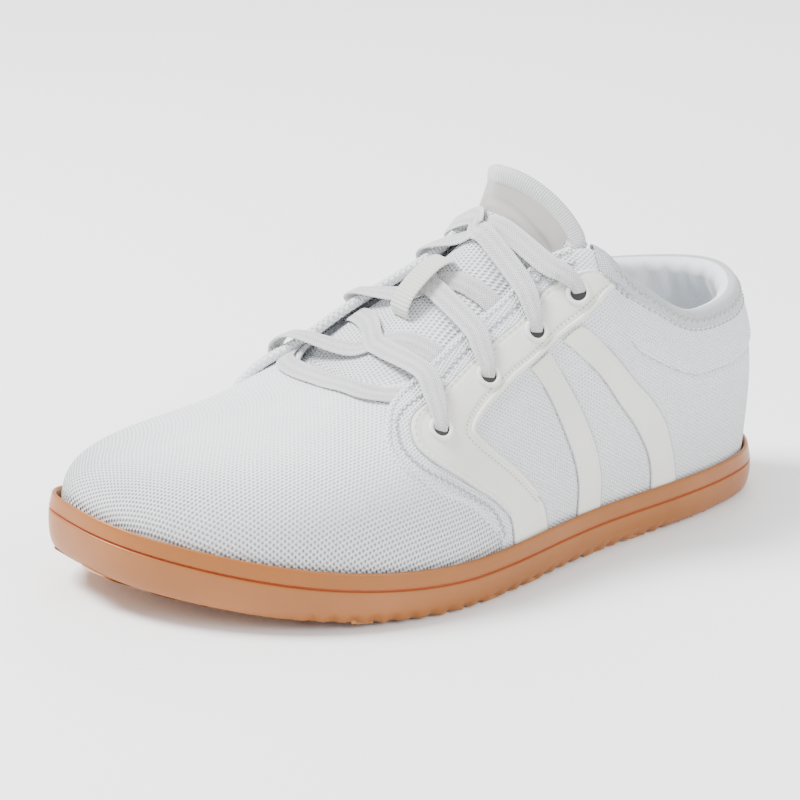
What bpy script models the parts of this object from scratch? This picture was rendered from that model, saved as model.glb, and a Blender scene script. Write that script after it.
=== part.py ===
"""Low laced barefoot shoe for the left foot, standing empty on its sole.

One function of two shares, round the shoe and up the side, gives the upper. The overlays,
the collar, the tongue seat and the lace paths are all cut from that same function.
The toe points to -Y, the outer side of the foot is +X and the floor is Z = 0.
"""
import math

import bmesh
import bpy
import numpy as np
from mathutils import Vector

# Driving sizes, metres
LENGTH = 0.282          # heel to toe along the sole
WIDTH = 0.1118          # across the ball of the foot
RISE = 0.109            # floor to the top of the laced flaps
TOE_SPRING = 0.0134     # lift of the sole under the toe tip
SPRING_FROM = 0.60      # share of LENGTH where the sole leaves the floor
SPRING_POWER = 2.05
HEEL_LIFT = 0.0008      # small lift under the back edge of the heel
HEEL_LIFT_TO = 0.05     # share of LENGTH where that lift ends

# Sole
FOOTBED = 0.0070        # floor to the bed inside the rim
GROOVE_UP = 0.0113      # floor to the parting groove in the side wall
GROOVE_DEEP = 0.0006
RIM_UP = 0.0171         # floor to the top of the rim
TOE_BUILD = 0.0030      # extra wall height that grows toward the toe
BUILD_FROM = 0.60
RIM_WALL = 0.0031       # rim thickness beside the upper
RIB_DEEP = 0.0010       # wave ribs under toe and heel
RIB_HALF = 0.0033       # half a rib groove, share of LENGTH

# Upper and what lies on it
GAP = 0.0003            # clearance between neighbouring pieces
FOOT_TUCK = 0.25        # share of the lean taken back inside the rim
WALL = 0.0019           # knit and lining together
OVERLAY = 0.0011        # film overlays on the knit
OVERLAY_GAP = 0.0007    # clearance under an overlay that follows the upper's curve
INSOLE = 0.0030
INSOLE_GAP = 0.0011
TONGUE = 0.0042
COLLAR_PAD = 0.0050     # padding inside the heel collar
COLLAR_LIP = 0.0011     # binding folded over the rim
COLLAR_END = 0.226      # share round the shoe where the collar stops
LACE_WIDE = 0.0078
LACE_THICK = 0.0013
RING_OUT = 0.0048
RING_IN = 0.0031
HOLE = 0.0027           # eyelet hole, radius
RING_HIGH = 0.0010
RING_SIDES = 12
LEAVE_OUTER = -0.04     # where a strand leaves the flap, share of the eyelet pitch
LEAVE_INNER = 0.26
KEEPER_WIDE = 0.0100
KEEPER_THICK = 0.0011

# Sole outline: along LENGTH from the heel, outer side and inner side as shares of WIDTH
HEEL_TIP = (0.0, -0.0855)
TOE_TIP = (1.0, -0.2482)
SOLE_OUTLINE = [
    # along, outer, inner
    (0.012, 0.0343, -0.2053),
    (0.040, 0.1251, -0.2886),
    (0.090, 0.1932, -0.3390),
    (0.160, 0.2462, -0.3579),
    (0.250, 0.2903, -0.3541),
    (0.350, 0.3319, -0.3478),
    (0.450, 0.3975, -0.3529),
    (0.550, 0.4694, -0.3844),
    (0.640, 0.4997, -0.4374),
    (0.720, 0.4820, -0.4740),
    (0.800, 0.4190, -0.4967),
    (0.870, 0.3156, -0.5004),
    (0.930, 0.1793, -0.4841),
    (0.970, 0.0494, -0.4399),
    (0.993, -0.0893, -0.3718),
]

# Side wall of the sole: inset from the outline and height, metres, share of the toe build
SOLE_SIDE = [
    # inset, up, toe_build
    (0.0060, 0.0000, 0.0),
    (0.0022, 0.0000, 0.0),
    (0.0005, 0.0020, 0.1),
    (0.0000, 0.0060, 0.5),
    (0.0001, GROOVE_UP - GROOVE_DEEP, 1.0),
    (GROOVE_DEEP, GROOVE_UP, 1.0),
    (0.0003, GROOVE_UP + GROOVE_DEEP, 1.0),
    (0.0014, RIM_UP, 1.0),
    (RIM_WALL - 0.0008, RIM_UP, 1.0),
    (RIM_WALL, RIM_UP - 0.0030, 1.0),
    (RIM_WALL, FOOTBED, 0.0),
]

# Upper: where each section stands on the outline, where its top edge is, and how it bends
UPPER_SECTIONS = [
    # side, foot_along, top_along, top_across, top_up, lower_pull, lean, upper_pull, top_slope
    ("heel", 0.000, 0.044, -0.085, 0.761, 0.33, 3, 0.24, 62),
    ("outer", 0.020, 0.060, 0.040, 0.743, 0.32, 3, 0.23, 64),
    ("outer", 0.060, 0.099, 0.134, 0.720, 0.31, 3, 0.22, 66),
    ("outer", 0.125, 0.156, 0.201, 0.714, 0.29, 3, 0.20, 70),
    ("outer", 0.185, 0.216, 0.237, 0.739, 0.28, 3, 0.20, 72),
    ("outer", 0.250, 0.274, 0.242, 0.830, 0.26, 2, 0.24, 70),
    ("outer", 0.310, 0.315, 0.228, 0.909, 0.25, 2, 0.28, 64),
    ("outer", 0.370, 0.360, 0.197, 0.999, 0.26, 2, 0.31, 56),
    ("outer", 0.430, 0.414, 0.116, 0.941, 0.26, 2, 0.28, 46),
    ("outer", 0.490, 0.458, 0.116, 0.850, 0.26, 3, 0.26, 38),
    ("outer", 0.560, 0.536, 0.134, 0.743, 0.26, 3, 0.24, 32),
    ("outer", 0.650, 0.607, 0.161, 0.659, 0.26, 3, 0.29, 26),
    ("outer", 0.780, 0.663, 0.072, 0.634, 0.28, 6, 0.44, 20),
    ("outer", 0.900, 0.670, 0.009, 0.632, 0.31, 8, 0.55, 19),
    ("toe", 1.000, 0.673, -0.054, 0.622, 0.37, 11, 0.65, 22),
    ("inner", 0.910, 0.673, -0.150, 0.614, 0.34, 11, 0.56, 22),
    ("inner", 0.800, 0.668, -0.250, 0.614, 0.29, 8, 0.44, 22),
    ("inner", 0.690, 0.626, -0.325, 0.664, 0.26, 4, 0.30, 28),
    ("inner", 0.590, 0.545, -0.300, 0.786, 0.27, 2, 0.26, 38),
    ("inner", 0.510, 0.462, -0.259, 0.900, 0.28, 2, 0.27, 44),
    ("inner", 0.435, 0.425, -0.259, 0.974, 0.29, 2, 0.28, 54),
    ("inner", 0.370, 0.378, -0.331, 0.976, 0.29, 2, 0.29, 62),
    ("inner", 0.310, 0.318, -0.344, 0.918, 0.28, 2, 0.26, 66),
    ("inner", 0.250, 0.274, -0.349, 0.857, 0.28, 2, 0.24, 70),
    ("inner", 0.185, 0.216, -0.330, 0.775, 0.28, 2, 0.20, 72),
    ("inner", 0.125, 0.156, -0.318, 0.755, 0.29, 2, 0.20, 72),
    ("inner", 0.060, 0.099, -0.281, 0.752, 0.31, 2, 0.22, 68),
    ("inner", 0.020, 0.060, -0.205, 0.757, 0.32, 2, 0.23, 64),
]

# Eyestay on the outer side: front edge and rear edge as shares round and up the upper
EYESTAY_EDGES = [
    # front_round, front_up, rear_round, rear_up
    (0.238, 0.984, 0.238, 0.905),
    (0.250, 0.984, 0.246, 0.860),
    (0.266, 0.984, 0.255, 0.815),
    (0.282, 0.984, 0.266, 0.768),
    (0.300, 0.984, 0.281, 0.740),
    (0.320, 0.984, 0.298, 0.724),
    (0.340, 0.984, 0.315, 0.722),
    (0.360, 0.984, 0.332, 0.718),
    (0.378, 0.980, 0.344, 0.703),
    (0.394, 0.965, 0.354, 0.688),
    (0.407, 0.925, 0.363, 0.670),
    (0.414, 0.860, 0.369, 0.648),
    (0.416, 0.780, 0.371, 0.622),
    (0.414, 0.700, 0.369, 0.590),
    (0.408, 0.610, 0.362, 0.520),
    (0.398, 0.500, 0.352, 0.445),
    (0.386, 0.412, 0.342, 0.380),
    (0.374, 0.335, 0.332, 0.318),
    (0.364, 0.262, 0.321, 0.255),
    (0.356, 0.195, 0.310, 0.195),
    (0.350, 0.000, 0.300, 0.000),
]

# Two plain straps that fan from under the eyestay to the sole
STRAP_FRONT = [
    # front_round, front_up, rear_round, rear_up
    (0.321, 0.700, 0.297, 0.702),
    (0.308, 0.600, 0.286, 0.610),
    (0.295, 0.500, 0.273, 0.505),
    (0.285, 0.415, 0.262, 0.415),
    (0.276, 0.332, 0.253, 0.340),
    (0.270, 0.260, 0.246, 0.265),
    (0.267, 0.190, 0.242, 0.190),
    (0.266, 0.000, 0.240, 0.000),
]
STRAP_REAR = [
    # front_round, front_up, rear_round, rear_up
    (0.282, 0.708, 0.266, 0.740),
    (0.262, 0.612, 0.246, 0.668),
    (0.237, 0.515, 0.219, 0.605),
    (0.214, 0.432, 0.193, 0.520),
    (0.199, 0.345, 0.175, 0.420),
    (0.190, 0.270, 0.166, 0.310),
    (0.185, 0.190, 0.160, 0.200),
    (0.182, 0.000, 0.154, 0.000),
]

# Eyelets on the outer side, shares round and up; the inner side mirrors them
EYELETS = [(0.390, 0.725), (0.350, 0.778), (0.308, 0.802), (0.265, 0.848)]

# Tongue: where each row leaves the throat edge, and its ridge as shares of LENGTH and RISE
TONGUE_ROWS = [
    # throat_round, ridge_along, ridge_up
    (0.428, 0.664, 0.590),
    (0.410, 0.640, 0.622),
    (0.393, 0.607, 0.675),
    (0.375, 0.571, 0.745),
    (0.357, 0.536, 0.820),
    (0.340, 0.503, 0.890),
    (0.323, 0.472, 0.958),
    (0.306, 0.447, 1.015),
    (0.290, 0.430, 1.062),
    (0.275, 0.4215, 1.105),
]
TONGUE_UNDER = 0.0014   # gap below the flaps
TONGUE_MIDDLE = -0.090  # share of WIDTH
TONGUE_TOP = (0.4195, 1.197)
TONGUE_TOP_OUTER = 0.260
TONGUE_TOP_INNER = 0.215
TONGUE_TOP_DROP = 0.193
TONGUE_TOP_BACK = 0.067

# Collar section: share up the upper, offset from its outer face in metres, padding share
COLLAR_SECTION = [
    # up, offset, padding
    (0.925, GAP, 0.0),
    (0.929, GAP + COLLAR_LIP, 0.0),
    (0.992, GAP + COLLAR_LIP, 0.0),
    (1.014, 0.0004, 0.0),
    (1.021, -WALL / 2, -0.15),
    (1.016, -WALL - GAP, -0.60),
    (0.985, -WALL - GAP, -1.00),
    (0.900, -WALL - GAP, -1.00),
    (0.780, -WALL - GAP, -0.75),
    (0.690, -WALL - GAP, -0.22),
    (0.680, -WALL - GAP, 0.00),
    (0.840, -WALL - GAP, 0.00),
    (1.003, -WALL - GAP, 0.00),
    (1.003, GAP, 0.00),
]

NAME = "barefoot_shoe"
COLOURS = {
    "gum": (0.46, 0.20, 0.09),
    "knit": (0.80, 0.81, 0.82),
    "film": (0.74, 0.75, 0.72),
    "lining": (0.66, 0.68, 0.70),
    "lace": (0.84, 0.84, 0.83),
    "ring": (0.78, 0.79, 0.78),
}


def clear_scene():
    for item in list(bpy.data.objects):
        bpy.data.objects.remove(item, do_unlink=True)


def closed_spline(knots, values):
    """Smooth closed curve through values; knots run from 0 to 1 with the last one left out."""
    knots = np.append(np.asarray(knots, float), 1.0)
    values = np.asarray(values, float)
    count = len(values)
    step = np.diff(knots)
    matrix = np.zeros((count, count))
    right = np.zeros_like(values)
    for i in range(count):
        before, after = (i - 1) % count, (i + 1) % count
        matrix[i, before] += step[before]
        matrix[i, i] += 2 * (step[before] + step[i])
        matrix[i, after] += step[i]
        rise = (values[after] - values[i]) / step[i]
        right[i] = 6 * (rise - (values[i] - values[before]) / step[before])
    bend = np.linalg.solve(matrix, right)

    def at(t):
        t = np.mod(np.asarray(t, float), 1.0)
        i = np.clip(np.searchsorted(knots, t, side="right") - 1, 0, count - 1)
        j = (i + 1) % count
        h = step[i]
        a = (knots[i + 1] - t) / h
        b = 1.0 - a
        if values.ndim > 1:
            h, a, b = h[..., None], a[..., None], b[..., None]
        curl = ((a**3 - a) * bend[i] + (b**3 - b) * bend[j]) * h * h / 6
        return a * values[i] + b * values[j] + curl

    return at


def unit(vectors):
    return vectors / np.linalg.norm(vectors, axis=-1, keepdims=True)


def plan_point(along, across):
    return (across * WIDTH, (0.5 - along) * LENGTH)


def make_outline():
    points = [plan_point(*HEEL_TIP)]
    points += [plan_point(row[0], row[1]) for row in SOLE_OUTLINE]
    points += [plan_point(*TOE_TIP)]
    points += [plan_point(row[0], row[2]) for row in reversed(SOLE_OUTLINE)]
    points = np.array(points)
    steps = np.linalg.norm(np.roll(points, -1, axis=0) - points, axis=1)
    knots = np.concatenate([[0.0], np.cumsum(steps)[:-1]]) / steps.sum()
    return closed_spline(knots, points)


outline = make_outline()


def outward(t):
    tangent = outline(np.asarray(t) + 1e-4) - outline(np.asarray(t) - 1e-4)
    return unit(np.stack([-tangent[..., 1], tangent[..., 0]], axis=-1))


def share_along(points):
    return 0.5 - points[..., 1] / LENGTH


FINE = np.linspace(0.0, 1.0, 4001)
FINE_ALONG = share_along(outline(FINE))
FINE_TOE = int(FINE_ALONG.argmax())


def outline_place(along, side):
    """Place on the outline, 0 to 1, where it passes the given share of the length."""
    if side in ("outer", "heel", "toe"):
        return np.interp(along, FINE_ALONG[:FINE_TOE + 1], FINE[:FINE_TOE + 1])
    return np.interp(along, FINE_ALONG[FINE_TOE:][::-1], FINE[FINE_TOE:][::-1])


def spring(along):
    along = np.asarray(along, float)
    toe = np.clip((along - SPRING_FROM) / (1 - SPRING_FROM), 0, None)
    heel = np.clip((HEEL_LIFT_TO - along) / HEEL_LIFT_TO, 0, None)
    return TOE_SPRING * toe**SPRING_POWER + HEEL_LIFT * heel**2


def toe_build(along):
    return TOE_BUILD * np.clip((np.asarray(along) - BUILD_FROM) / (1 - BUILD_FROM), 0, 1)


SECTION_AT = np.arange(len(UPPER_SECTIONS)) / len(UPPER_SECTIONS)
FOOT = np.array([float(outline_place(row[1], row[0])) for row in UPPER_SECTIONS])
foot_shift = closed_spline(SECTION_AT, FOOT - SECTION_AT)
top_edge = closed_spline(
    SECTION_AT,
    [(*plan_point(row[2], row[3]), row[4] * RISE) for row in UPPER_SECTIONS],
)
section_bend = closed_spline(
    SECTION_AT,
    [(row[5] * RISE, math.radians(row[6]), row[7] * RISE, math.radians(row[8]))
     for row in UPPER_SECTIONS],
)


def foot_tuck(pull_low, lean):
    """How far inside the outline the foot of the upper stands."""
    return RIM_WALL + 2 * GAP + FOOT_TUCK * pull_low * np.sin(lean)


def section_frame(around):
    around = np.asarray(around, float)
    place = around + foot_shift(around)
    face = outward(place)
    pull_low, lean, pull_top, slope = np.moveaxis(section_bend(around), -1, 0)
    foot = outline(place) - foot_tuck(pull_low, lean)[..., None] * face
    foot = np.concatenate([foot, (FOOTBED + 2 * GAP + spring(share_along(foot)))[..., None]], -1)
    top = top_edge(around)
    inward = unit(unit(top[..., :2] - foot[..., :2]) - face)
    low = np.concatenate([face * np.sin(lean)[..., None], np.cos(lean)[..., None]], -1)
    high = np.concatenate([inward * np.cos(slope)[..., None], np.sin(slope)[..., None]], -1)
    return foot, foot + pull_low[..., None] * low, top - pull_top[..., None] * high, top, high


def upper_face(around, up):
    """Outer face of the upper: around is 0 at the heel and 0.5 at the toe, up is 0 to 1."""
    around, up = np.broadcast_arrays(np.asarray(around, float), np.asarray(up, float))
    foot, low, high, top, _ = section_frame(around)
    s = np.clip(up, 0, 1)[..., None]
    return (1 - s)**3 * foot + 3 * (1 - s)**2 * s * low + 3 * (1 - s) * s * s * high + s**3 * top


def upper_point(around, up, offset=0.0):
    """Point off the upper's outer face; up beyond 1 runs on past the top edge."""
    around, up = np.broadcast_arrays(np.asarray(around, float), np.asarray(up, float))
    inside = np.clip(up, 0.0, 1.0)
    step = 1e-3
    round_way = upper_face(around + step, inside) - upper_face(around - step, inside)
    up_way = (upper_face(around, np.minimum(inside + step, 1.0))
              - upper_face(around, np.maximum(inside - step, 0.0)))
    normal = unit(np.cross(up_way, round_way))
    high = section_frame(around)[4]
    beyond = (np.clip(up, 1.0, None) - 1.0)[..., None] * RISE * high
    return upper_face(around, inside) + beyond + np.asarray(offset)[..., None] * normal


def rim_share(around):
    """Share up the upper where it clears the rim of the sole."""
    ups = np.linspace(0.0, 0.4, 81)
    points = upper_face(np.full_like(ups, around), ups)
    along = share_along(points)
    clear = points[:, 2] - (RIM_UP + 2 * GAP + toe_build(along) + spring(along))
    return float(np.interp(0.0, clear, ups))


def smooth_path(knots, steps):
    """Open smooth curve through knots, with so many steps between two of them."""
    knots = np.array(knots)
    ends = np.concatenate([[2 * knots[0] - knots[1]], knots, [2 * knots[-1] - knots[-2]]])
    made = []
    for i in range(1, len(ends) - 2):
        a, b, c, d = ends[i - 1:i + 3]
        for t in np.linspace(0, 1, steps, endpoint=False):
            made.append(0.5 * (2 * b + (c - a) * t + (2 * a - 5 * b + 4 * c - d) * t * t
                               + (3 * b - 3 * c + d - a) * t**3))
    made.append(knots[-1])
    return np.array(made)


materials = {}


def material(kind):
    if kind not in materials:
        made = bpy.data.materials.new(kind)
        made.use_nodes = True
        shader = made.node_tree.nodes["Principled BSDF"]
        shader.inputs["Base Color"].default_value = (*COLOURS[kind], 1.0)
        shader.inputs["Roughness"].default_value = 0.7
        materials[kind] = made
    return materials[kind]


def new_collection(name):
    made = bpy.data.collections.new(name)
    bpy.context.scene.collection.children.link(made)
    return made


def add_mesh(name, kind, mesh, where):
    made_material = material(kind).copy()
    made_material.name = name + "_" + kind
    mesh.materials.append(made_material)
    made = bpy.data.objects.new(name, mesh)
    where.objects.link(made)
    return made


def skin(name, kind, rings, where, closed=False, mirror=None):
    """Loft between rings of points; ends are closed across pairs i and mirror - i."""
    rings = np.asarray(rings, float)
    rows, count = rings.shape[:2]
    grid = bmesh.new()
    verts = [[grid.verts.new(point) for point in ring] for ring in rings]
    last = rows if closed else rows - 1
    for row in range(last):
        here, there = verts[row], verts[(row + 1) % rows]
        for i in range(count):
            j = (i + 1) % count
            grid.faces.new((here[i], here[j], there[j], there[i]))
    if not closed:
        for ring in (verts[0], verts[-1]):
            if mirror is None:
                grid.faces.new(ring)
                continue
            for i in range(count // 2):
                pair = (i, i + 1, (mirror - i - 1) % count, (mirror - i) % count)
                used = []
                for index in pair:
                    if index not in used:
                        used.append(index)
                if len(used) > 2:
                    grid.faces.new([ring[index] for index in used])
    bmesh.ops.recalc_face_normals(grid, faces=grid.faces)
    mesh = bpy.data.meshes.new(name)
    grid.to_mesh(mesh)
    grid.free()
    return add_mesh(name, kind, mesh, where)


def sole_ring(stations, inset, height):
    """Ring round the shoe at paired stations; height is a function of the share along."""
    outer = [outline_place(s, "outer") for s in stations]
    inner = [outline_place(s, "inner") for s in stations[1:-1]][::-1]
    places = np.array(outer + inner)
    depth = inset(places) if callable(inset) else np.full(len(places), inset)
    flat = outline(places) - depth[:, None] * outward(places)
    return np.concatenate([flat, height(share_along(flat))[:, None]], axis=1)


HEEL_RIBS = [0.036 + 0.0175 * i for i in range(5)]
TOE_RIBS = [0.892 + 0.0175 * i for i in range(5)]


def sole_stations():
    plain = [0.0, 0.003, 0.010, 0.020, 0.135, 0.165, 0.20, 0.25, 0.30, 0.35, 0.40, 0.45, 0.50,
             0.55, 0.60, 0.64, 0.68, 0.72, 0.76, 0.80, 0.84, 0.87, 0.974, 0.984, 0.992, 0.998,
             1.0]
    ribs = [rib + shift for rib in HEEL_RIBS + TOE_RIBS for shift in (-RIB_HALF, 0, RIB_HALF)]
    return sorted(plain + ribs)


def rib_height(along):
    height = np.zeros_like(along)
    for rib in HEEL_RIBS + TOE_RIBS:
        height += RIB_DEEP * np.clip(1 - np.abs(along - rib) / RIB_HALF, 0, 1)
    return height


def build_outsole(where):
    stations = sole_stations()
    station_ribs = rib_height(np.array(stations))
    round_ribs = np.concatenate([station_ribs, station_ribs[1:-1][::-1]])
    rings = []
    for inset, up, build in SOLE_SIDE:
        ring = sole_ring(stations, inset, lambda a, u=up, b=build: u + b * toe_build(a) + spring(a))
        if not rings:
            ring[:, 2] += round_ribs
        rings.append(ring)
    return skin("outsole", "gum", rings, where, mirror=0)


def build_insole(where):
    stations = [0.5 - 0.5 * math.cos(math.pi * i / 30) for i in range(31)]
    edge = 0.0006
    bends = section_bend(FINE)
    tucks = foot_tuck(bends[:, 0], bends[:, 1])
    clear = WALL + INSOLE_GAP

    def inset(places, more):
        return np.interp(places, FINE + foot_shift(FINE), tucks) + clear + more

    levels = [(edge, FOOTBED + GAP), (0.0, FOOTBED + GAP + edge),
              (0.0, FOOTBED + GAP + INSOLE - edge), (edge, FOOTBED + GAP + INSOLE)]
    rings = [sole_ring(stations, lambda t, m=m: inset(t, m), lambda a, h=h: h + spring(a))
             for m, h in levels]
    return skin("insole", "lining", rings, where, mirror=0)


def build_upper(where):
    rounds = np.arange(84) / 84
    ups = np.array([0.0, 0.11, 0.23, 0.36, 0.49, 0.62, 0.75, 0.88, 1.0])
    rings = []
    for around in rounds:
        outer = upper_point(around, ups, np.zeros_like(ups))
        inner = upper_point(around, ups[::-1], np.full_like(ups, -WALL))
        inner[-1, 2] = outer[0, 2]
        rings.append(np.concatenate([outer, inner]))
    return skin("upper", "knit", rings, where, closed=True)


def tongue_row(around, along, up):
    """One row of the tongue's top face, from under the outer flap to under the inner flap."""
    under = -(WALL + TONGUE_UNDER)
    ups = np.array([0.86, 0.94, 1.0, 1.025])
    outer = upper_point(around, ups, np.full(4, under))
    inner = upper_point(1 - around, ups, np.full(4, under))
    x, y = plan_point(along, TONGUE_MIDDLE)
    ridge = np.array([x, y, up * RISE])
    share = np.array([0.36, 0.70])
    bend = np.stack([share, share, np.sin(share * math.pi / 2)], axis=1)
    near = outer[3] + (ridge - outer[3]) * bend
    far = inner[3] + (ridge - inner[3]) * bend
    return np.concatenate([outer, near, [ridge], far[::-1], inner[::-1]])


def tongue_faces():
    """Top face of the tongue as rows of points, front end first."""
    front = [upper_point(around, 0.84, -(WALL + 1.6 * TONGUE_UNDER))
             for around in np.linspace(0.43, 0.57, 13)]
    rows = [np.array(front)] + [tongue_row(*row) for row in TONGUE_ROWS]
    spread = np.linspace(1, -1, 13)
    x, y = plan_point(TONGUE_TOP[0], TONGUE_MIDDLE)
    half = np.where(spread > 0, TONGUE_TOP_OUTER, TONGUE_TOP_INNER) * WIDTH
    top = np.stack([x + half * spread,
                    y + TONGUE_TOP_BACK * LENGTH * np.abs(spread)**1.5,
                    (TONGUE_TOP[1] - TONGUE_TOP_DROP * np.abs(spread)**2.5) * RISE], axis=1)
    last = rows[-1]
    rows += [last + (top - last) * share for share in (0.3, 0.6, 0.85, 1.0)]
    return np.array(rows)


def grid_normals(faces):
    along = np.gradient(faces, axis=0)
    across = np.gradient(faces, axis=1)
    normal = unit(np.cross(along, across))
    return normal if normal[..., 2].mean() > 0 else -normal


TONGUE_FACE = tongue_faces()
TONGUE_NORMAL = grid_normals(TONGUE_FACE)


def build_tongue(where):
    thick = np.full(TONGUE_FACE.shape[:2], TONGUE)
    thick[:, 0] = thick[:, -1] = 0.45 * TONGUE
    thick[0, :] = thick[-1, :] = 0.45 * TONGUE
    under = TONGUE_FACE - thick[..., None] * TONGUE_NORMAL
    rings = [np.concatenate([top, low[::-1]]) for top, low in zip(TONGUE_FACE, under)]
    return skin("tongue", "knit", rings, where, mirror=len(rings[0]) - 1)


def overlay(name, kind, edges, steps, across, where, inner_side=False):
    """Overlay between two edges drawn in shares round and up the upper."""
    rings = []
    shares = np.linspace(0, 1, across + 1)
    edges = smooth_path(edges, steps)
    for number, (front_round, front_up, rear_round, rear_up) in enumerate(edges):
        rounds = front_round + (rear_round - front_round) * shares
        if inner_side:
            rounds = 1 - rounds
        ups = front_up + (rear_up - front_up) * shares
        rims = np.array([rim_share(around) for around in rounds])
        ups = rims if number == len(edges) - 1 else np.maximum(ups, rims)
        if number < len(edges) - 1 and edges[number + 1][1] < rims[0] and front_up < rims[0]:
            continue
        top = upper_point(rounds, ups, np.full_like(ups, OVERLAY_GAP + OVERLAY))
        low = upper_point(rounds, ups, np.full_like(ups, OVERLAY_GAP))
        rings.append(np.concatenate([top, low[::-1]]))
    return skin(name, kind, rings, where, mirror=len(rings[0]) - 1)


def build_collar(where):
    rings = []
    for around in np.linspace(-COLLAR_END, COLLAR_END, 31):
        fade = 1 - 0.62 * (abs(around) / COLLAR_END)**2
        ups = np.array([row[0] for row in COLLAR_SECTION])
        offsets = np.array([row[1] + row[2] * COLLAR_PAD * fade for row in COLLAR_SECTION])
        rings.append(upper_point(np.full_like(ups, around % 1.0), ups, offsets))
    return skin("collar", "lining", rings, where)


def build_eyelet(name, around, up, where):
    centre = upper_point(around, up, OVERLAY_GAP + OVERLAY + GAP)
    tip = upper_point(around, up, OVERLAY_GAP + OVERLAY + GAP + 0.001)
    axis = unit(tip - centre)
    side = unit(np.cross(axis, np.array([0.0, 0.0, 1.0])))
    other = np.cross(axis, side)
    bow = 0.0004
    rings = []
    for i in range(RING_SIDES):
        turn = 2 * math.pi * i / RING_SIDES
        way = math.cos(turn) * side + math.sin(turn) * other
        rings.append([centre + way * RING_OUT + axis * bow,
                      centre + way * (RING_OUT - 0.0005) + axis * (bow + RING_HIGH),
                      centre + way * (RING_IN + 0.0004) + axis * (bow + RING_HIGH),
                      centre + way * RING_IN + axis * bow])
    return skin(name, "ring", rings, where, closed=True)


def ribbon(name, kind, path, faces, wides, thick, where):
    """Flat ribbon along path; faces are the directions its broad side looks."""
    path, faces = np.array(path), unit(np.array(faces))
    way = unit(np.gradient(path, axis=0))
    side = unit(np.cross(way, faces))
    face = np.cross(side, way)
    rings = [[p - s * w / 2 + f * thick / 2, p + f * thick * 0.62, p + s * w / 2 + f * thick / 2,
              p + s * w / 2 - f * thick / 2, p - f * thick * 0.38, p - s * w / 2 - f * thick / 2]
             for p, s, f, w in zip(path, side, face, wides)]
    return skin(name, kind, rings, where, mirror=5)


def tongue_place(around, column, lift):
    """Point above the tongue, by place along the throat and by column across."""
    rows = np.array([row[0] for row in TONGUE_ROWS])[::-1]
    row = len(rows) - np.interp(around, rows, np.arange(len(rows)))
    i, j = min(int(row), len(TONGUE_FACE) - 2), min(int(column), TONGUE_FACE.shape[1] - 2)
    a, b = row - i, column - j
    mix = [((1 - a) * (1 - b), i, j), (a * (1 - b), i + 1, j),
           ((1 - a) * b, i, j + 1), (a * b, i + 1, j + 1)]
    point = sum(w * TONGUE_FACE[m, n] for w, m, n in mix)
    normal = unit(sum(w * TONGUE_NORMAL[m, n] for w, m, n in mix))
    return point + lift * normal, normal


def strand(name, number, inner_side, lift, over_flap, where):
    """Lace from one eyelet up and across the tongue toward the next one opposite."""
    (start, start_up), (end, end_up) = EYELETS[number - 1], EYELETS[number]
    pitch = start - end
    over = OVERLAY_GAP + OVERLAY + 2 * GAP + LACE_THICK / 2
    knots, faces = [], []

    def on_upper(around, up, offset, far=False):
        place = 1 - around if inner_side != far else around
        knots.append(upper_point(place, up, offset))
        faces.append(unit(upper_point(place, up, offset + 0.001) - knots[-1]))

    def on_tongue(around, column, more):
        point, normal = tongue_place(around, 12 - column if inner_side else column,
                                     more + GAP * 2 + LACE_THICK / 2)
        knots.append(point)
        faces.append(normal)

    leave = (LEAVE_INNER if inner_side else LEAVE_OUTER) * pitch
    on_upper(start, start_up + 0.010, over + RING_HIGH + 3 * GAP)
    on_upper(start + 0.4 * leave, start_up + 0.45 * (1 - start_up), over + RING_HIGH + 4 * GAP)
    on_upper(start + leave, 0.985, over + 3 * GAP)
    on_tongue(start + 0.6 * leave, 5.0, lift + 2 * GAP)
    on_tongue(start - 0.06 * pitch, 6.0, lift)
    if over_flap:
        on_tongue(start - 0.33 * pitch, 7.0, lift + 2 * GAP)
        on_upper(end + 0.34 * pitch, 0.985, over + 3 * GAP, True)
        on_upper(end + 0.14 * pitch, end_up + 0.45 * (1 - end_up), over + RING_HIGH + 3 * GAP, True)
        on_upper(end, end_up + 0.012, over + RING_HIGH + 5 * GAP, True)
    else:
        on_tongue(start - 0.28 * pitch, 7.2, lift)
        on_tongue(start - 0.42 * pitch, 8.3, lift / 2)
    path = smooth_path(knots, 3)
    looks = smooth_path(faces, 3)
    share = np.linspace(0, 1, len(path))
    wides = LACE_WIDE * (0.72 + 0.28 * np.clip(share * 5, 0, 1))
    if over_flap:
        wides = wides * (0.72 + 0.28 * np.clip((1 - share) * 5, 0, 1))
    return ribbon(name, "lace", path, looks, wides, LACE_THICK, where)


def build_crossing(number, over_flap, where, hidden):
    """Two strands joined where one lies over the other."""
    name = "lace_cross_%d%d" % (number, number + 1)
    upper_strand = strand(name, number, False, LACE_THICK * 0.7, over_flap, where)
    lower_strand = strand(name + "_under", number, True, 0.0, over_flap, hidden)
    lower_strand.hide_render = True
    lower_strand.display_type = "WIRE"
    join = upper_strand.modifiers.new("join", "BOOLEAN")
    join.operation = "UNION"
    join.solver = "EXACT"
    join.use_self = True
    join.object = lower_strand


def build_lace_bar(where):
    """First straight lace across the front end of the throat."""
    knots, faces = [], []
    for around, up in ((0.425, 0.955), (0.450, 0.985), (0.500, 0.990), (0.550, 0.985),
                       (0.575, 0.955)):
        lift = 3 * GAP + LACE_THICK / 2
        knots.append(upper_point(around, up, lift))
        faces.append(unit(upper_point(around, up, lift + 0.001) - knots[-1]))
    path = smooth_path(knots, 3)
    ribbon("lace_bar", "lace", path, smooth_path(faces, 3), [LACE_WIDE * 0.9] * len(path),
           LACE_THICK, where)


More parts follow.
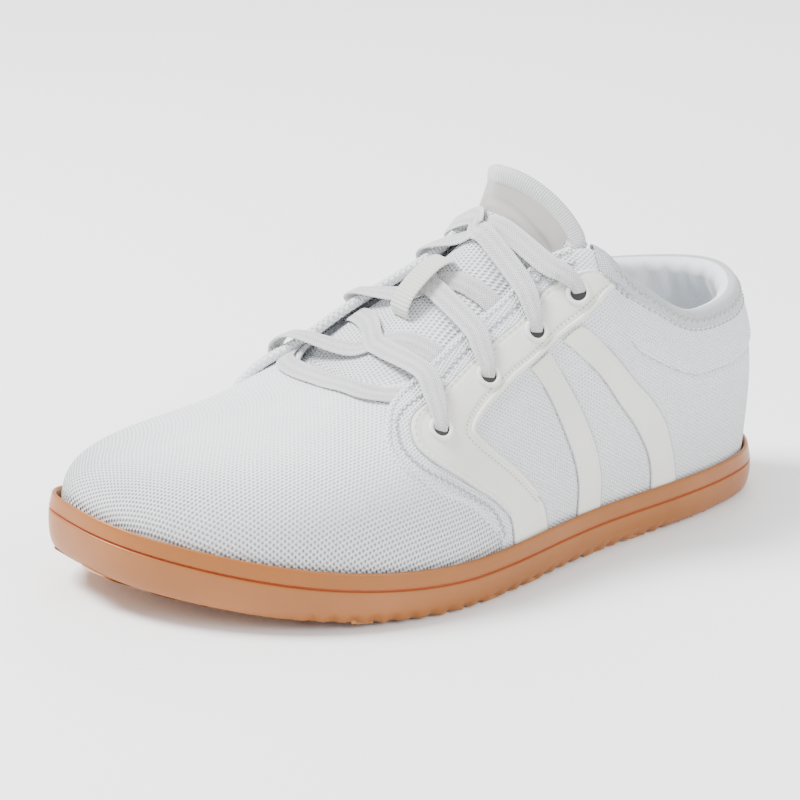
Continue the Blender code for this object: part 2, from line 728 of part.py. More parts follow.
def build_keeper(where):
    """Webbing loop on the tongue that the second crossing runs through."""
    middle = EYELETS[1][0]
    rise = 2 * LACE_THICK + 5 * GAP
    knots, faces = [], []
    for shift, lift in ((0.0185, 0.0), (0.0165, 0.6), (0.010, 1.0), (0.0, 1.12), (-0.010, 1.0),
                        (-0.0165, 0.6), (-0.0185, 0.0)):
        foot = GAP + KEEPER_THICK / 2
        point, normal = tongue_place(middle + shift, 6.0, foot + lift * (rise + KEEPER_THICK))
        knots.append(point)
        faces.append(normal)
    path = smooth_path(knots, 3)
    ribbon("lace_keeper", "lace", path, smooth_path(faces, 3), [KEEPER_WIDE] * len(path),
           KEEPER_THICK, where)


def cut_eyelet_holes(pieces, hidden):
    """Holes through the flap and its overlay inside each ring."""
    for inner_side in (False, True):
        side = "inner" if inner_side else "outer"
        for number, (around, up) in enumerate(EYELETS, 1):
            place = 1 - around if inner_side else around
            centre = upper_point(place, up, 0.0)
            axis = unit(upper_point(place, up, 0.001) - centre)
            tool = bmesh.new()
            bmesh.ops.create_cone(tool, cap_ends=True, segments=12, radius1=HOLE, radius2=HOLE,
                                  depth=0.010)
            mesh = bpy.data.meshes.new("hole_%s_%d" % (side, number))
            tool.to_mesh(mesh)
            tool.free()
            cutter = bpy.data.objects.new(mesh.name, mesh)
            hidden.objects.link(cutter)
            cutter.location = centre
            cutter.rotation_mode = "QUATERNION"
            cutter.rotation_quaternion = Vector(axis).to_track_quat("Z", "Y")
            cutter.hide_render = True
            cutter.display_type = "WIRE"
            for piece in (pieces["upper"], pieces["eyestay_" + side]):
                cut = piece.modifiers.new(cutter.name, "BOOLEAN")
                cut.operation = "DIFFERENCE"
                cut.solver = "EXACT"
                cut.object = cutter


def main():
    clear_scene()
    shoe = new_collection(NAME)
    hidden = new_collection("cutters")
    build_outsole(shoe)
    build_insole(shoe)
    pieces = {"upper": build_upper(shoe)}
    build_tongue(shoe)
    build_collar(shoe)
    for side, inner_side in (("outer", False), ("inner", True)):
        eyestay = "eyestay_" + side
        pieces[eyestay] = overlay(eyestay, "film", EYESTAY_EDGES, 2, 3, shoe, inner_side)
        overlay("strap_front_" + side, "film", STRAP_FRONT, 2, 2, shoe, inner_side)
        overlay("strap_rear_" + side, "film", STRAP_REAR, 2, 2, shoe, inner_side)
        for number, (around, up) in enumerate(EYELETS, 1):
            place = 1 - around if inner_side else around
            build_eyelet("eyelet_%s_%d" % (side, number), place, up, shoe)
    cut_eyelet_holes(pieces, hidden)
    build_lace_bar(shoe)
    for number in (1, 2, 3):
        build_crossing(number, number == 3, shoe, hidden)
    build_keeper(shoe)


main()
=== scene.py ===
# %% [markdown]
# # A low laced barefoot shoe, dressed over its solid model
#
# The solid model fixes every size. Here each plain solid gets the cloth, film, cord and
# rubber that a shoemaker would give it. The upper of the solid model is one function of two
# shares, round the shoe and up its side. The same function is written out again below, so a
# seam, a strap or a lace is drawn with the same two shares and always lies on the foot form.

# %% Load the frame
import math

import bmesh
import bpy
import numpy as np
from mathutils import Matrix, Vector


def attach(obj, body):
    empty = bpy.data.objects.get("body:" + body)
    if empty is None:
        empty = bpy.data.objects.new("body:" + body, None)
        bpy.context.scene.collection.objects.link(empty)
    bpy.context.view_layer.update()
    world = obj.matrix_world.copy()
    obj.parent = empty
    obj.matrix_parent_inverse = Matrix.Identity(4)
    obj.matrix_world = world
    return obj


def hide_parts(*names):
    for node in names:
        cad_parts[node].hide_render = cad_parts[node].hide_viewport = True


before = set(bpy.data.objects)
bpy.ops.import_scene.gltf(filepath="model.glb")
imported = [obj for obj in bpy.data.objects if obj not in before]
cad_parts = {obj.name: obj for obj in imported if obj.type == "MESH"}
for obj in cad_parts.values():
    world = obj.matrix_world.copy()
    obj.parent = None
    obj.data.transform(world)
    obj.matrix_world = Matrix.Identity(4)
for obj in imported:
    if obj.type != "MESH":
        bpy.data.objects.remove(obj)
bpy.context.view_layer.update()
print("frame nodes:", len(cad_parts))

# %% [markdown]
# ## Camera
#
# The viewpoint was found by matching the outline of the sole and the throat of the shoe to
# the photograph. The camera stands there with a small roll and is turned to look at the
# middle of the shoe, so the angle to the shoe is the photograph's own.

# %% Camera
EYE = Vector((0.73521, -0.54198, 0.36026))
AIM = Vector((-0.0006, -0.0230, 0.0574))
ROLL = math.radians(1.55)
LENS_MM, NEAREST = 123.0, 0.05


def place_camera():
    look = (EYE - AIM).normalized()
    side = Vector((0, 0, 1)).cross(look).normalized()
    turn = Matrix((side, look.cross(side), look)).transposed()
    camera = bpy.data.objects.new("camera", bpy.data.cameras.new("camera"))
    bpy.context.scene.collection.objects.link(camera)
    camera.matrix_world = Matrix.Translation(EYE) @ (turn @ Matrix.Rotation(ROLL, 3, "Z")).to_4x4()
    camera.data.lens = LENS_MM
    camera.data.clip_start = NEAREST
    bpy.context.scene.camera = camera


place_camera()
print("camera at", [round(v, 3) for v in EYE])

# %% [markdown]
# ## The last shape
#
# Sizes and tables repeat the solid model's. The sole outline is a closed spline through
# widths read at shares of the length. Each section of the upper is a curve from the edge of
# the sole to the top edge, with one lean at the foot and one slope at the top.

# %% Sizes and tables
LENGTH, WIDTH, RISE = 0.282, 0.1118, 0.109
TOE_SPRING, SPRING_FROM, SPRING_POWER = 0.0134, 0.60, 2.05
HEEL_LIFT, HEEL_LIFT_TO = 0.0008, 0.05
FOOTBED, RIM_WALL = 0.0070, 0.0031
TOE_BUILD, BUILD_FROM = 0.0030, 0.60
GAP, WALL, FOOT_TUCK = 0.0003, 0.0019, 0.25
LACE_WIDE = 0.0078

SOLE_OUTLINE = [
    # along, outer, inner
    (0.012, 0.0343, -0.2053), (0.040, 0.1251, -0.2886), (0.090, 0.1932, -0.3390),
    (0.160, 0.2462, -0.3579), (0.250, 0.2903, -0.3541), (0.350, 0.3319, -0.3478),
    (0.450, 0.3975, -0.3529), (0.550, 0.4694, -0.3844), (0.640, 0.4997, -0.4374),
    (0.720, 0.4820, -0.4740), (0.800, 0.4190, -0.4967), (0.870, 0.3156, -0.5004),
    (0.930, 0.1793, -0.4841), (0.970, 0.0494, -0.4399), (0.993, -0.0893, -0.3718),
]
HEEL_TIP, TOE_TIP = (0.0, -0.0855), (1.0, -0.2482)

UPPER_SECTIONS = [
    # side, foot_along, top_along, top_across, top_up, lower_pull, lean, upper_pull, top_slope
    ("heel", 0.000, 0.044, -0.085, 0.761, 0.33, 3, 0.24, 62),
    ("outer", 0.020, 0.060, 0.040, 0.743, 0.32, 3, 0.23, 64),
    ("outer", 0.060, 0.099, 0.134, 0.720, 0.31, 3, 0.22, 66),
    ("outer", 0.125, 0.156, 0.201, 0.714, 0.29, 3, 0.20, 70),
    ("outer", 0.185, 0.216, 0.237, 0.739, 0.28, 3, 0.20, 72),
    ("outer", 0.250, 0.274, 0.242, 0.830, 0.26, 2, 0.24, 70),
    ("outer", 0.310, 0.315, 0.228, 0.909, 0.25, 2, 0.28, 64),
    ("outer", 0.370, 0.360, 0.197, 0.999, 0.26, 2, 0.31, 56),
    ("outer", 0.430, 0.414, 0.116, 0.941, 0.26, 2, 0.28, 46),
    ("outer", 0.490, 0.458, 0.116, 0.850, 0.26, 3, 0.26, 38),
    ("outer", 0.560, 0.536, 0.134, 0.743, 0.26, 3, 0.24, 32),
    ("outer", 0.650, 0.607, 0.161, 0.659, 0.26, 3, 0.29, 26),
    ("outer", 0.780, 0.663, 0.072, 0.634, 0.28, 6, 0.44, 20),
    ("outer", 0.900, 0.670, 0.009, 0.632, 0.31, 8, 0.55, 19),
    ("toe", 1.000, 0.673, -0.054, 0.622, 0.37, 11, 0.65, 22),
    ("inner", 0.910, 0.673, -0.150, 0.614, 0.34, 11, 0.56, 22),
    ("inner", 0.800, 0.668, -0.250, 0.614, 0.29, 8, 0.44, 22),
    ("inner", 0.690, 0.626, -0.325, 0.664, 0.26, 4, 0.30, 28),
    ("inner", 0.590, 0.545, -0.300, 0.786, 0.27, 2, 0.26, 38),
    ("inner", 0.510, 0.462, -0.259, 0.900, 0.28, 2, 0.27, 44),
    ("inner", 0.435, 0.425, -0.259, 0.974, 0.29, 2, 0.28, 54),
    ("inner", 0.370, 0.378, -0.331, 0.976, 0.29, 2, 0.29, 62),
    ("inner", 0.310, 0.318, -0.344, 0.918, 0.28, 2, 0.26, 66),
    ("inner", 0.250, 0.274, -0.349, 0.857, 0.28, 2, 0.24, 70),
    ("inner", 0.185, 0.216, -0.330, 0.775, 0.28, 2, 0.20, 72),
    ("inner", 0.125, 0.156, -0.318, 0.755, 0.29, 2, 0.20, 72),
    ("inner", 0.060, 0.099, -0.281, 0.752, 0.31, 2, 0.22, 68),
    ("inner", 0.020, 0.060, -0.205, 0.757, 0.32, 2, 0.23, 64),
]

EYELETS = [(0.390, 0.725), (0.350, 0.778), (0.308, 0.802), (0.265, 0.848)]
print("sections:", len(UPPER_SECTIONS), "eyelets a side:", len(EYELETS))

# %% [markdown]
# The tables become functions. upper_point gives the place of any spot on the upper from its
# two shares, and smooth_path, read_grid and read_path read the curves and grids made here.

# %% The last as functions


def closed_spline(knots, values):
    """Smooth closed curve through values; knots run from 0 to 1 with the last one left out."""
    knots = np.append(np.asarray(knots, float), 1.0)
    values = np.asarray(values, float)
    count = len(values)
    step = np.diff(knots)
    matrix = np.zeros((count, count))
    right = np.zeros_like(values)
    for i in range(count):
        before, after = (i - 1) % count, (i + 1) % count
        matrix[i, before] += step[before]
        matrix[i, i] += 2 * (step[before] + step[i])
        matrix[i, after] += step[i]
        rise = (values[after] - values[i]) / step[i]
        right[i] = 6 * (rise - (values[i] - values[before]) / step[before])
    bend = np.linalg.solve(matrix, right)

    def at(t):
        t = np.mod(np.asarray(t, float), 1.0)
        i = np.clip(np.searchsorted(knots, t, side="right") - 1, 0, count - 1)
        j = (i + 1) % count
        h = step[i]
        a = (knots[i + 1] - t) / h
        b = 1.0 - a
        if values.ndim > 1:
            h, a, b = h[..., None], a[..., None], b[..., None]
        curl = ((a**3 - a) * bend[i] + (b**3 - b) * bend[j]) * h * h / 6
        return a * values[i] + b * values[j] + curl

    return at


def unit(vectors):
    return vectors / np.linalg.norm(vectors, axis=-1, keepdims=True)


def ease(low, high, x):
    """0 below low, 1 above high and smooth between; low may be the larger."""
    t = np.clip((np.asarray(x, float) - low) / (high - low), 0, 1)
    return t * t * (3 - 2 * t)


def plan_point(along, across):
    return (across * WIDTH, (0.5 - along) * LENGTH)


def make_outline():
    points = [plan_point(*HEEL_TIP)]
    points += [plan_point(row[0], row[1]) for row in SOLE_OUTLINE]
    points += [plan_point(*TOE_TIP)]
    points += [plan_point(row[0], row[2]) for row in reversed(SOLE_OUTLINE)]
    points = np.array(points)
    steps = np.linalg.norm(np.roll(points, -1, axis=0) - points, axis=1)
    knots = np.concatenate([[0.0], np.cumsum(steps)[:-1]]) / steps.sum()
    return closed_spline(knots, points), steps.sum()


outline, GIRTH = make_outline()


def outward(t):
    tangent = outline(np.asarray(t) + 1e-4) - outline(np.asarray(t) - 1e-4)
    return unit(np.stack([-tangent[..., 1], tangent[..., 0]], axis=-1))


def share_along(points):
    return 0.5 - points[..., 1] / LENGTH


FINE = np.linspace(0.0, 1.0, 4001)
FINE_ALONG = share_along(outline(FINE))
FINE_TOE = int(FINE_ALONG.argmax())


def outline_place(along, side):
    if side in ("outer", "heel", "toe"):
        return np.interp(along, FINE_ALONG[:FINE_TOE + 1], FINE[:FINE_TOE + 1])
    return np.interp(along, FINE_ALONG[FINE_TOE:][::-1], FINE[FINE_TOE:][::-1])


def spring(along):
    along = np.asarray(along, float)
    toe = np.clip((along - SPRING_FROM) / (1 - SPRING_FROM), 0, None)
    heel = np.clip((HEEL_LIFT_TO - along) / HEEL_LIFT_TO, 0, None)
    return TOE_SPRING * toe**SPRING_POWER + HEEL_LIFT * heel**2


def toe_build(along):
    return TOE_BUILD * np.clip((np.asarray(along) - BUILD_FROM) / (1 - BUILD_FROM), 0, 1)


SECTION_AT = np.arange(len(UPPER_SECTIONS)) / len(UPPER_SECTIONS)
FOOT = np.array([float(outline_place(row[1], row[0])) for row in UPPER_SECTIONS])
foot_shift = closed_spline(SECTION_AT, FOOT - SECTION_AT)
top_edge = closed_spline(
    SECTION_AT,
    [(*plan_point(row[2], row[3]), row[4] * RISE) for row in UPPER_SECTIONS],
)
section_bend = closed_spline(
    SECTION_AT,
    [(row[5] * RISE, math.radians(row[6]), row[7] * RISE, math.radians(row[8]))
     for row in UPPER_SECTIONS],
)


def section_frame(around):
    around = np.asarray(around, float)
    place = around + foot_shift(around)
    face = outward(place)
    pull_low, lean, pull_top, slope = np.moveaxis(section_bend(around), -1, 0)
    tuck = RIM_WALL + 2 * GAP + FOOT_TUCK * pull_low * np.sin(lean)
    foot = outline(place) - tuck[..., None] * face
    foot = np.concatenate([foot, (FOOTBED + 2 * GAP + spring(share_along(foot)))[..., None]], -1)
    top = top_edge(around)
    inward = unit(unit(top[..., :2] - foot[..., :2]) - face)
    low = np.concatenate([face * np.sin(lean)[..., None], np.cos(lean)[..., None]], -1)
    high = np.concatenate([inward * np.cos(slope)[..., None], np.sin(slope)[..., None]], -1)
    return foot, foot + pull_low[..., None] * low, top - pull_top[..., None] * high, top, high


def upper_face(around, up):
    around, up = np.broadcast_arrays(np.asarray(around, float), np.asarray(up, float))
    foot, low, high, top, _ = section_frame(around)
    s = np.clip(up, 0, 1)[..., None]
    return (1 - s)**3 * foot + 3 * (1 - s)**2 * s * low + 3 * (1 - s) * s * s * high + s**3 * top


def upper_point(around, up, offset=0.0):
    """Point off the upper's face: around is 0 at the heel and 0.5 at the toe, up 0 to 1."""
    around, up = np.broadcast_arrays(np.asarray(around, float), np.asarray(up, float))
    inside = np.clip(up, 0.0, 1.0)
    step = 1e-3
    round_way = upper_face(around + step, inside) - upper_face(around - step, inside)
    up_way = (upper_face(around, np.minimum(inside + step, 1.0))
              - upper_face(around, np.maximum(inside - step, 0.0)))
    normal = unit(np.cross(up_way, round_way))
    high = section_frame(around)[4]
    beyond = (np.clip(up, 1.0, None) - 1.0)[..., None] * RISE * high
    return upper_face(around, inside) + beyond + np.asarray(offset)[..., None] * normal


def smooth_path(knots, steps):
    """Open smooth curve through knots, with so many steps between two of them."""
    knots = np.array(knots, float)
    ends = np.concatenate([[2 * knots[0] - knots[1]], knots, [2 * knots[-1] - knots[-2]]])
    made = []
    for i in range(1, len(ends) - 2):
        a, b, c, d = ends[i - 1:i + 3]
        for t in np.linspace(0, 1, steps, endpoint=False):
            made.append(0.5 * (2 * b + (c - a) * t + (2 * a - 5 * b + 4 * c - d) * t * t
                               + (3 * b - 3 * c + d - a) * t**3))
    made.append(knots[-1])
    return np.array(made)


def read_grid(grid, row, column):
    """Value between the points of a grid, row and column as shares."""
    row = np.clip(np.asarray(row, float), 0, 1) * (grid.shape[0] - 1)
    column = np.clip(np.asarray(column, float), 0, 1) * (grid.shape[1] - 1)
    i = np.minimum(row.astype(int), grid.shape[0] - 2)
    j = np.minimum(column.astype(int), grid.shape[1] - 2)
    a, b = (row - i)[..., None], (column - j)[..., None]
    return ((1 - a) * (1 - b) * grid[i, j] + a * (1 - b) * grid[i + 1, j]
            + (1 - a) * b * grid[i, j + 1] + a * b * grid[i + 1, j + 1])


def read_path(path, share):
    """Points at shares of a path's own length."""
    path = np.asarray(path, float)
    steps = np.linalg.norm(np.diff(path[:, :3], axis=0), axis=1)
    at = np.concatenate([[0.0], np.cumsum(steps)])
    return np.stack([np.interp(np.asarray(share) * at[-1], at, column) for column in path.T], -1)


def path_length(path):
    return float(np.linalg.norm(np.diff(np.asarray(path)[:, :3], axis=0), axis=1).sum())


print("outline girth %.0f mm" % (GIRTH * 1000))

# %% [markdown]
# ## How pieces are made
#
# Cloth, film and rubber skins all start as a flat grid, which is then laid on the last the
# way a pattern piece is. The grid keeps its own flat coordinates in metres, so weave and
# knit are drawn at their real pitch. Stitches are small rounded rods laid along a path.

# %% Making pieces
RIBBON_SIDES = 20
NEAR_SHARE = 0.004


def finish_piece(name, net, looks, nodes, cloth=None, shares=None, thick=0.0):
    """Turns a bmesh into a finished, smooth piece that rides on the shoe."""
    mesh = bpy.data.meshes.new(name)
    net.to_mesh(mesh)
    net.free()
    mesh.shade_smooth()
    which = np.empty(len(mesh.loops), int)
    mesh.loops.foreach_get("vertex_index", which)
    for title, flat in (("cloth", cloth), ("shares", shares)):
        if flat is not None:
            layer = mesh.uv_layers.new(name=title)
            layer.data.foreach_set("uv", np.asarray(flat, float)[which].ravel())
    piece = bpy.data.objects.new(name, mesh)
    bpy.context.scene.collection.objects.link(piece)
    for look in looks if isinstance(looks, (list, tuple)) else [looks]:
        mesh.materials.append(look)
    if thick:
        wall = piece.modifiers.new("wall", "SOLIDIFY")
        wall.thickness = thick
        wall.offset = -1.0
        wall.use_even_offset = False
    if nodes:
        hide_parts(*nodes)
    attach(piece, "root")
    return piece


def lay_cloth(name, columns, rows, place, looks, nodes=(), thick=0.0, turn=False, weld=False):
    """Grid laid by place(a, b), which gives points and flat coordinates in metres."""
    net = bmesh.new()
    bmesh.ops.create_grid(net, x_segments=columns, y_segments=rows, size=0.5)
    flat = np.array([vert.co[:2] for vert in net.verts]) + 0.5
    points, cloth = place(flat[:, 0], flat[:, 1])
    for vert, point in zip(net.verts, points):
        vert.co = point
    if turn:
        bmesh.ops.reverse_faces(net, faces=net.faces)
    if weld:
        bmesh.ops.remove_doubles(net, verts=net.verts, dist=1e-6)
        cloth = shares = None
    else:
        shares = flat
    piece = finish_piece(name, net, looks, nodes, cloth, shares, thick)
    print("%s: %d faces" % (name, len(piece.data.polygons)))
    return piece


def lay_ribbon(name, path, faces, wides, thick, looks, nodes=(), round_=0.9, along=160,
               square=0.38):
    """Ribbon or cord with a rounded section; faces say where its broad side looks."""
    share = np.linspace(0, 1, along + 1)
    path = read_path(path, share)
    faces = unit(read_path(np.asarray(faces), share))
    wides = np.interp(share, np.linspace(0, 1, len(wides)), wides)
    way = unit(np.gradient(path, axis=0))
    side = unit(np.cross(way, faces))
    face = np.cross(side, way)
    length = path_length(path)

    def place(a, b):
        row = np.rint(a * along).astype(int)
        turn = b * 2 * math.pi
        across = np.sign(np.cos(turn)) * np.abs(np.cos(turn))**square * wides[row] / 2
        lift = np.sign(np.sin(turn)) * np.abs(np.sin(turn))**round_ * thick / 2
        made = path[row] + across[:, None] * side[row] + lift[:, None] * face[row]
        return made, np.stack([a * length, across], -1)

    return lay_cloth(name, along, RIBBON_SIDES, place, looks, nodes)


def lay_stitches(name, path, faces, looks, pitch=0.0026, long=0.0017, thick=0.00055, zigzag=0.0):
    """Row of short threads along a path, each a rounded rod; zigzag leans every other one."""
    count = max(2, int(path_length(path) / pitch))
    share = (np.arange(count) + 0.5) / count
    spots = read_path(path, share)
    ahead = read_path(path, np.clip(share + NEAR_SHARE, 0, 1))
    behind = read_path(path, np.clip(share - NEAR_SHARE, 0, 1))
    looks_out = unit(read_path(np.asarray(faces), share))
    net = bmesh.new()
    for number, (spot, front, back, out) in enumerate(zip(spots, ahead, behind, looks_out)):
        way = Vector(front - back).normalized()
        lean = way.cross(Vector(out)).normalized() * (zigzag if number % 2 else -zigzag)
        way = (way + lean).normalized()
        side = way.cross(Vector(out)).normalized()
        turn = Matrix((way * long / 2, side * thick / 2, side.cross(way) * thick / 2)).transposed()
        where = Matrix.Translation(Vector(spot)) @ turn.to_4x4()
        bmesh.ops.create_icosphere(net, subdivisions=1, radius=1.0, matrix=where)
    return finish_piece(name, net, looks, ())


def on_upper(arounds, ups, offset):
    """Points and outward looks along a line drawn in shares on the upper."""
    points = upper_point(arounds, ups, np.broadcast_to(offset, np.shape(arounds)))
    return points, unit(upper_point(arounds, ups, np.add(offset, 0.001)) - points)


print("makers ready")

# %% [markdown]
# ## Materials
#
# Every look is built from small node groups. One makes the open holes of the knit, one the
# slanted threads of twill, one the fine unevenness of cloth and rubber. They read the flat
# coordinates of each piece, so the holes in the toe mesh are 1.8 mm apart wherever they lie.

# %% Node groups
FULL_TURN = 6.2832
LATTICE_WAVE = 7.2552  # a full turn over the cosine of 30 degrees


def new_group(name, ins, outs):
    tree = bpy.data.node_groups.new(name, "ShaderNodeTree")
    for title, kind, value in ins:
        socket = tree.interface.new_socket(title, in_out="INPUT", socket_type=kind)
        if value is not None:
            socket.default_value = value
    for title, kind in outs:
        tree.interface.new_socket(title, in_out="OUTPUT", socket_type=kind)
    return tree, tree.nodes.new("NodeGroupInput"), tree.nodes.new("NodeGroupOutput")


def add(tree, kind, wires=None, **settings):
    """New node; wires sets sockets to a value or links them to another node's socket."""
    node = tree.nodes.new("ShaderNode" + kind)
    for key, value in settings.items():
        setattr(node, key, value)
    for key, value in (wires or {}).items():
        if isinstance(value, bpy.types.NodeSocket):
            tree.links.new(value, node.inputs[key])
        else:
            node.inputs[key].default_value = value
    return node


def math_node(tree, operation, *values):
    return add(tree, "Math", dict(enumerate(values)), operation=operation).outputs[0]


def lattice_group():
    """Three crossed waves: peaks lie on a triangular lattice of the given pitch."""
    tree, inn, out = new_group(
        "lattice",
        [("Flat", "NodeSocketVector", None), ("Pitch", "NodeSocketFloat", 0.0018)],
        [("Height", "NodeSocketFloat"), ("Hole", "NodeSocketFloat")],
    )
    waves = None
    for turn in (0, 60, 120):
        angle = math.radians(turn)
        way = (math.cos(angle), math.sin(angle), 0.0)
        dot = add(tree, "VectorMath", {0: inn.outputs["Flat"], 1: way}, operation="DOT_PRODUCT")
        phase = math_node(tree, "DIVIDE", dot.outputs["Value"], inn.outputs["Pitch"])
        wave = math_node(tree, "COSINE", math_node(tree, "MULTIPLY", phase, LATTICE_WAVE))
        waves = wave if waves is None else math_node(tree, "ADD", waves, wave)
    height = add(tree, "MapRange", {"Value": waves, "From Min": -1.5, "From Max": 3.0})
    hole = add(tree, "MapRange", {"Value": waves, "From Min": 1.0, "From Max": 2.3})
    hole.interpolation_type = "SMOOTHSTEP"
    tree.links.new(height.outputs[0], out.inputs["Height"])
    tree.links.new(hole.outputs[0], out.inputs["Hole"])
    return tree


def twill_group():
    """Slanted threads that change side at each rib, as on flat laces and webbing."""
    tree, inn, out = new_group(
        "twill",
        [("Flat", "NodeSocketVector", None), ("Thread", "NodeSocketFloat", 0.0006),
         ("Rib", "NodeSocketFloat", 0.0016), ("Slant", "NodeSocketFloat", 0.9)],
        [("Height", "NodeSocketFloat")],
    )
    split = add(tree, "SeparateXYZ", {0: inn.outputs["Flat"]})
    across = math_node(tree, "DIVIDE", split.outputs["Y"], inn.outputs["Rib"])
    fold = math_node(tree, "PINGPONG", across, 1.0)
    lean = math_node(tree, "MULTIPLY", inn.outputs["Rib"], inn.outputs["Slant"])
    slant = math_node(tree, "MULTIPLY", fold, lean)
    along = math_node(tree, "ADD", split.outputs["X"], slant)
    phase = math_node(tree, "MULTIPLY", math_node(tree, "DIVIDE", along, inn.outputs["Thread"]),
                      FULL_TURN)
    thread = math_node(tree, "MULTIPLY_ADD", math_node(tree, "SINE", phase), 0.5, 0.5)
    rib = math_node(tree, "MULTIPLY_ADD", fold, 0.45, 0.3)
    tree.links.new(math_node(tree, "MULTIPLY", thread, rib), out.inputs["Height"])
    return tree


def uneven_group():
    """Soft unevenness at two sizes, for cloth that isn't quite flat or evenly dyed."""
    tree, inn, out = new_group(
        "uneven",
        [("Place", "NodeSocketVector", None), ("Scale", "NodeSocketFloat", 60.0)],
        [("Broad", "NodeSocketFloat"), ("Fine", "NodeSocketFloat")],
    )
    broad = add(tree, "TexNoise", {"Vector": inn.outputs["Place"], "Scale": inn.outputs["Scale"],
                                   "Detail": 3.0})
    finer_scale = math_node(tree, "MULTIPLY", inn.outputs["Scale"], 40.0)
    fine = add(tree, "TexNoise", {"Vector": inn.outputs["Place"], "Detail": 2.0,
                                  "Scale": finer_scale})
    tree.links.new(broad.outputs[0], out.inputs["Broad"])
    tree.links.new(fine.outputs[0], out.inputs["Fine"])
    return tree


GROUPS = {"lattice": lattice_group(), "twill": twill_group(), "uneven": uneven_group()}
print("node groups:", ", ".join(GROUPS))

# %% [markdown]
# A look is one material. Knit, lace, film and rubber each have a function that wires the
# groups to colour, roughness and bump, and the table below it names the tones.

# %% Looks


def new_look(name, color, rough):
    look = bpy.data.materials.new(name)
    look.use_nodes = True
    tree = look.node_tree
    shader = tree.nodes["Principled BSDF"]
    shader.inputs["Base Color"].default_value = (*color, 1.0)
    shader.inputs["Roughness"].default_value = rough
    return look, tree, shader


def use(tree, name, **wires):
    return add(tree, "Group", wires, node_tree=GROUPS[name]).outputs


def darker(share, tone):
    return tuple(share * c for c in tone)


def flat_uv(tree, title="cloth"):
    return add(tree, "UVMap", uv_map=title).outputs[0]


def place_of(tree):
    return add(tree, "TexCoord").outputs["Object"]


def mix(tree, share, first, second):
    node = add(tree, "Mix", {0: share}, data_type="RGBA")
    for socket, value in ((6, first), (7, second)):
        if isinstance(value, bpy.types.NodeSocket):
            tree.links.new(value, node.inputs[socket])
        else:
            node.inputs[socket].default_value = (*value, 1.0)
    return node.outputs[2]


def bump(tree, shader, height, depth, under=None):
    wires = {"Height": height, "Distance": depth, "Strength": 1.0}
    if under is not None:
        wires["Normal"] = under
    node = add(tree, "Bump", wires)
    tree.links.new(node.outputs[0], shader.inputs["Normal"])
    return node.outputs[0]


def ramp(tree, value, low, high, to_low=0.0, to_high=1.0):
    node = add(tree, "MapRange", {"Value": value, "From Min": low, "From Max": high,
                                  "To Min": to_low, "To Max": to_high})
    node.interpolation_type = "SMOOTHSTEP"
    return node.outputs[0]


def knit_look(name, pitch, thread, hole_shade_tone, open_low, open_high, depth):
    """Knit with rows of holes; open_low and open_high set how open it is up the piece."""
    look, tree, shader = new_look(name, thread, 0.86)
    holes = use(tree, "lattice", Flat=flat_uv(tree), Pitch=pitch)
    fuzz = use(tree, "uneven", Place=place_of(tree), Scale=45.0)
    up = add(tree, "SeparateXYZ", {0: flat_uv(tree, "shares")}).outputs["Y"]
    openness = ramp(tree, up, 0.05, 0.75, open_low, open_high)
    # The holes take the darker second tone: painted shade seen through the knit, deeper where it
    # is more open.
    dark = math_node(tree, "MULTIPLY", holes["Hole"], openness)
    tone = mix(tree, math_node(tree, "MULTIPLY", fuzz["Broad"], 0.18), thread,
               darker(0.86, thread))
    tree.links.new(mix(tree, dark, tone, hole_shade_tone), shader.inputs["Base Color"])
    first = bump(tree, shader, fuzz["Fine"], 0.00012)
    deep = math_node(tree, "MULTIPLY", holes["Height"], -1.0)
    bump(tree, shader, math_node(tree, "MULTIPLY", deep, math_node(tree, "ADD", openness, 0.35)),
         depth, first)
    shader.inputs["Sheen Weight"].default_value = 0.25
    return look


def lace_look(name, tone, thread, rib, depth, slant=0.9, dark=0.64):
    look, tree, shader = new_look(name, tone, 0.8)
    weave = use(tree, "twill", Flat=flat_uv(tree), Thread=thread, Rib=rib, Slant=slant)
    # Low parts of the weave are painted darker: painted shade between the threads and ribs.
    shade = mix(tree, weave["Height"], darker(dark, tone), tone)
    tree.links.new(shade, shader.inputs["Base Color"])
    bump(tree, shader, weave["Height"], depth)
    shader.inputs["Sheen Weight"].default_value = 0.3
    return look


def film_look(name, tone):
    look, tree, shader = new_look(name, tone, 0.48)
    soft = use(tree, "uneven", Place=place_of(tree), Scale=70.0)
    shade = mix(tree, math_node(tree, "MULTIPLY", soft["Broad"], 0.3), tone, darker(0.9, tone))
    tree.links.new(shade, shader.inputs["Base Color"])
    tree.links.new(ramp(tree, soft["Broad"], 0.3, 0.7, 0.42, 0.56), shader.inputs["Roughness"])
    first = bump(tree, shader, soft["Fine"], 0.00005)
    bump(tree, shader, soft["Broad"], 0.0006, first)
    return look


def rubber_look(name, tone, deep):
    look, tree, shader = new_look(name, tone, RUBBER_ROUGH)
    soft = use(tree, "uneven", Place=place_of(tree), Scale=30.0)
    shade = mix(tree, ramp(tree, soft["Broad"], 0.3, 0.75), tone, darker(0.88, tone))
    tree.links.new(mix(tree, ramp(tree, soft["Fine"], 0.6, 0.9, 0.0, 0.12), shade, deep),
                   shader.inputs["Base Color"])
    rough = ramp(tree, soft["Broad"], 0.3, 0.7, RUBBER_ROUGH - 0.05, RUBBER_ROUGH + 0.08)
    tree.links.new(rough, shader.inputs["Roughness"])
    bump(tree, shader, soft["Fine"], 0.00004)
    for title, value in (("Coat Weight", 0.12), ("Coat Roughness", 0.3),
                         ("Subsurface Weight", 0.08),
                         ("Subsurface Radius", (0.004, 0.0016, 0.0006))):
        shader.inputs[title].default_value = value
    return look


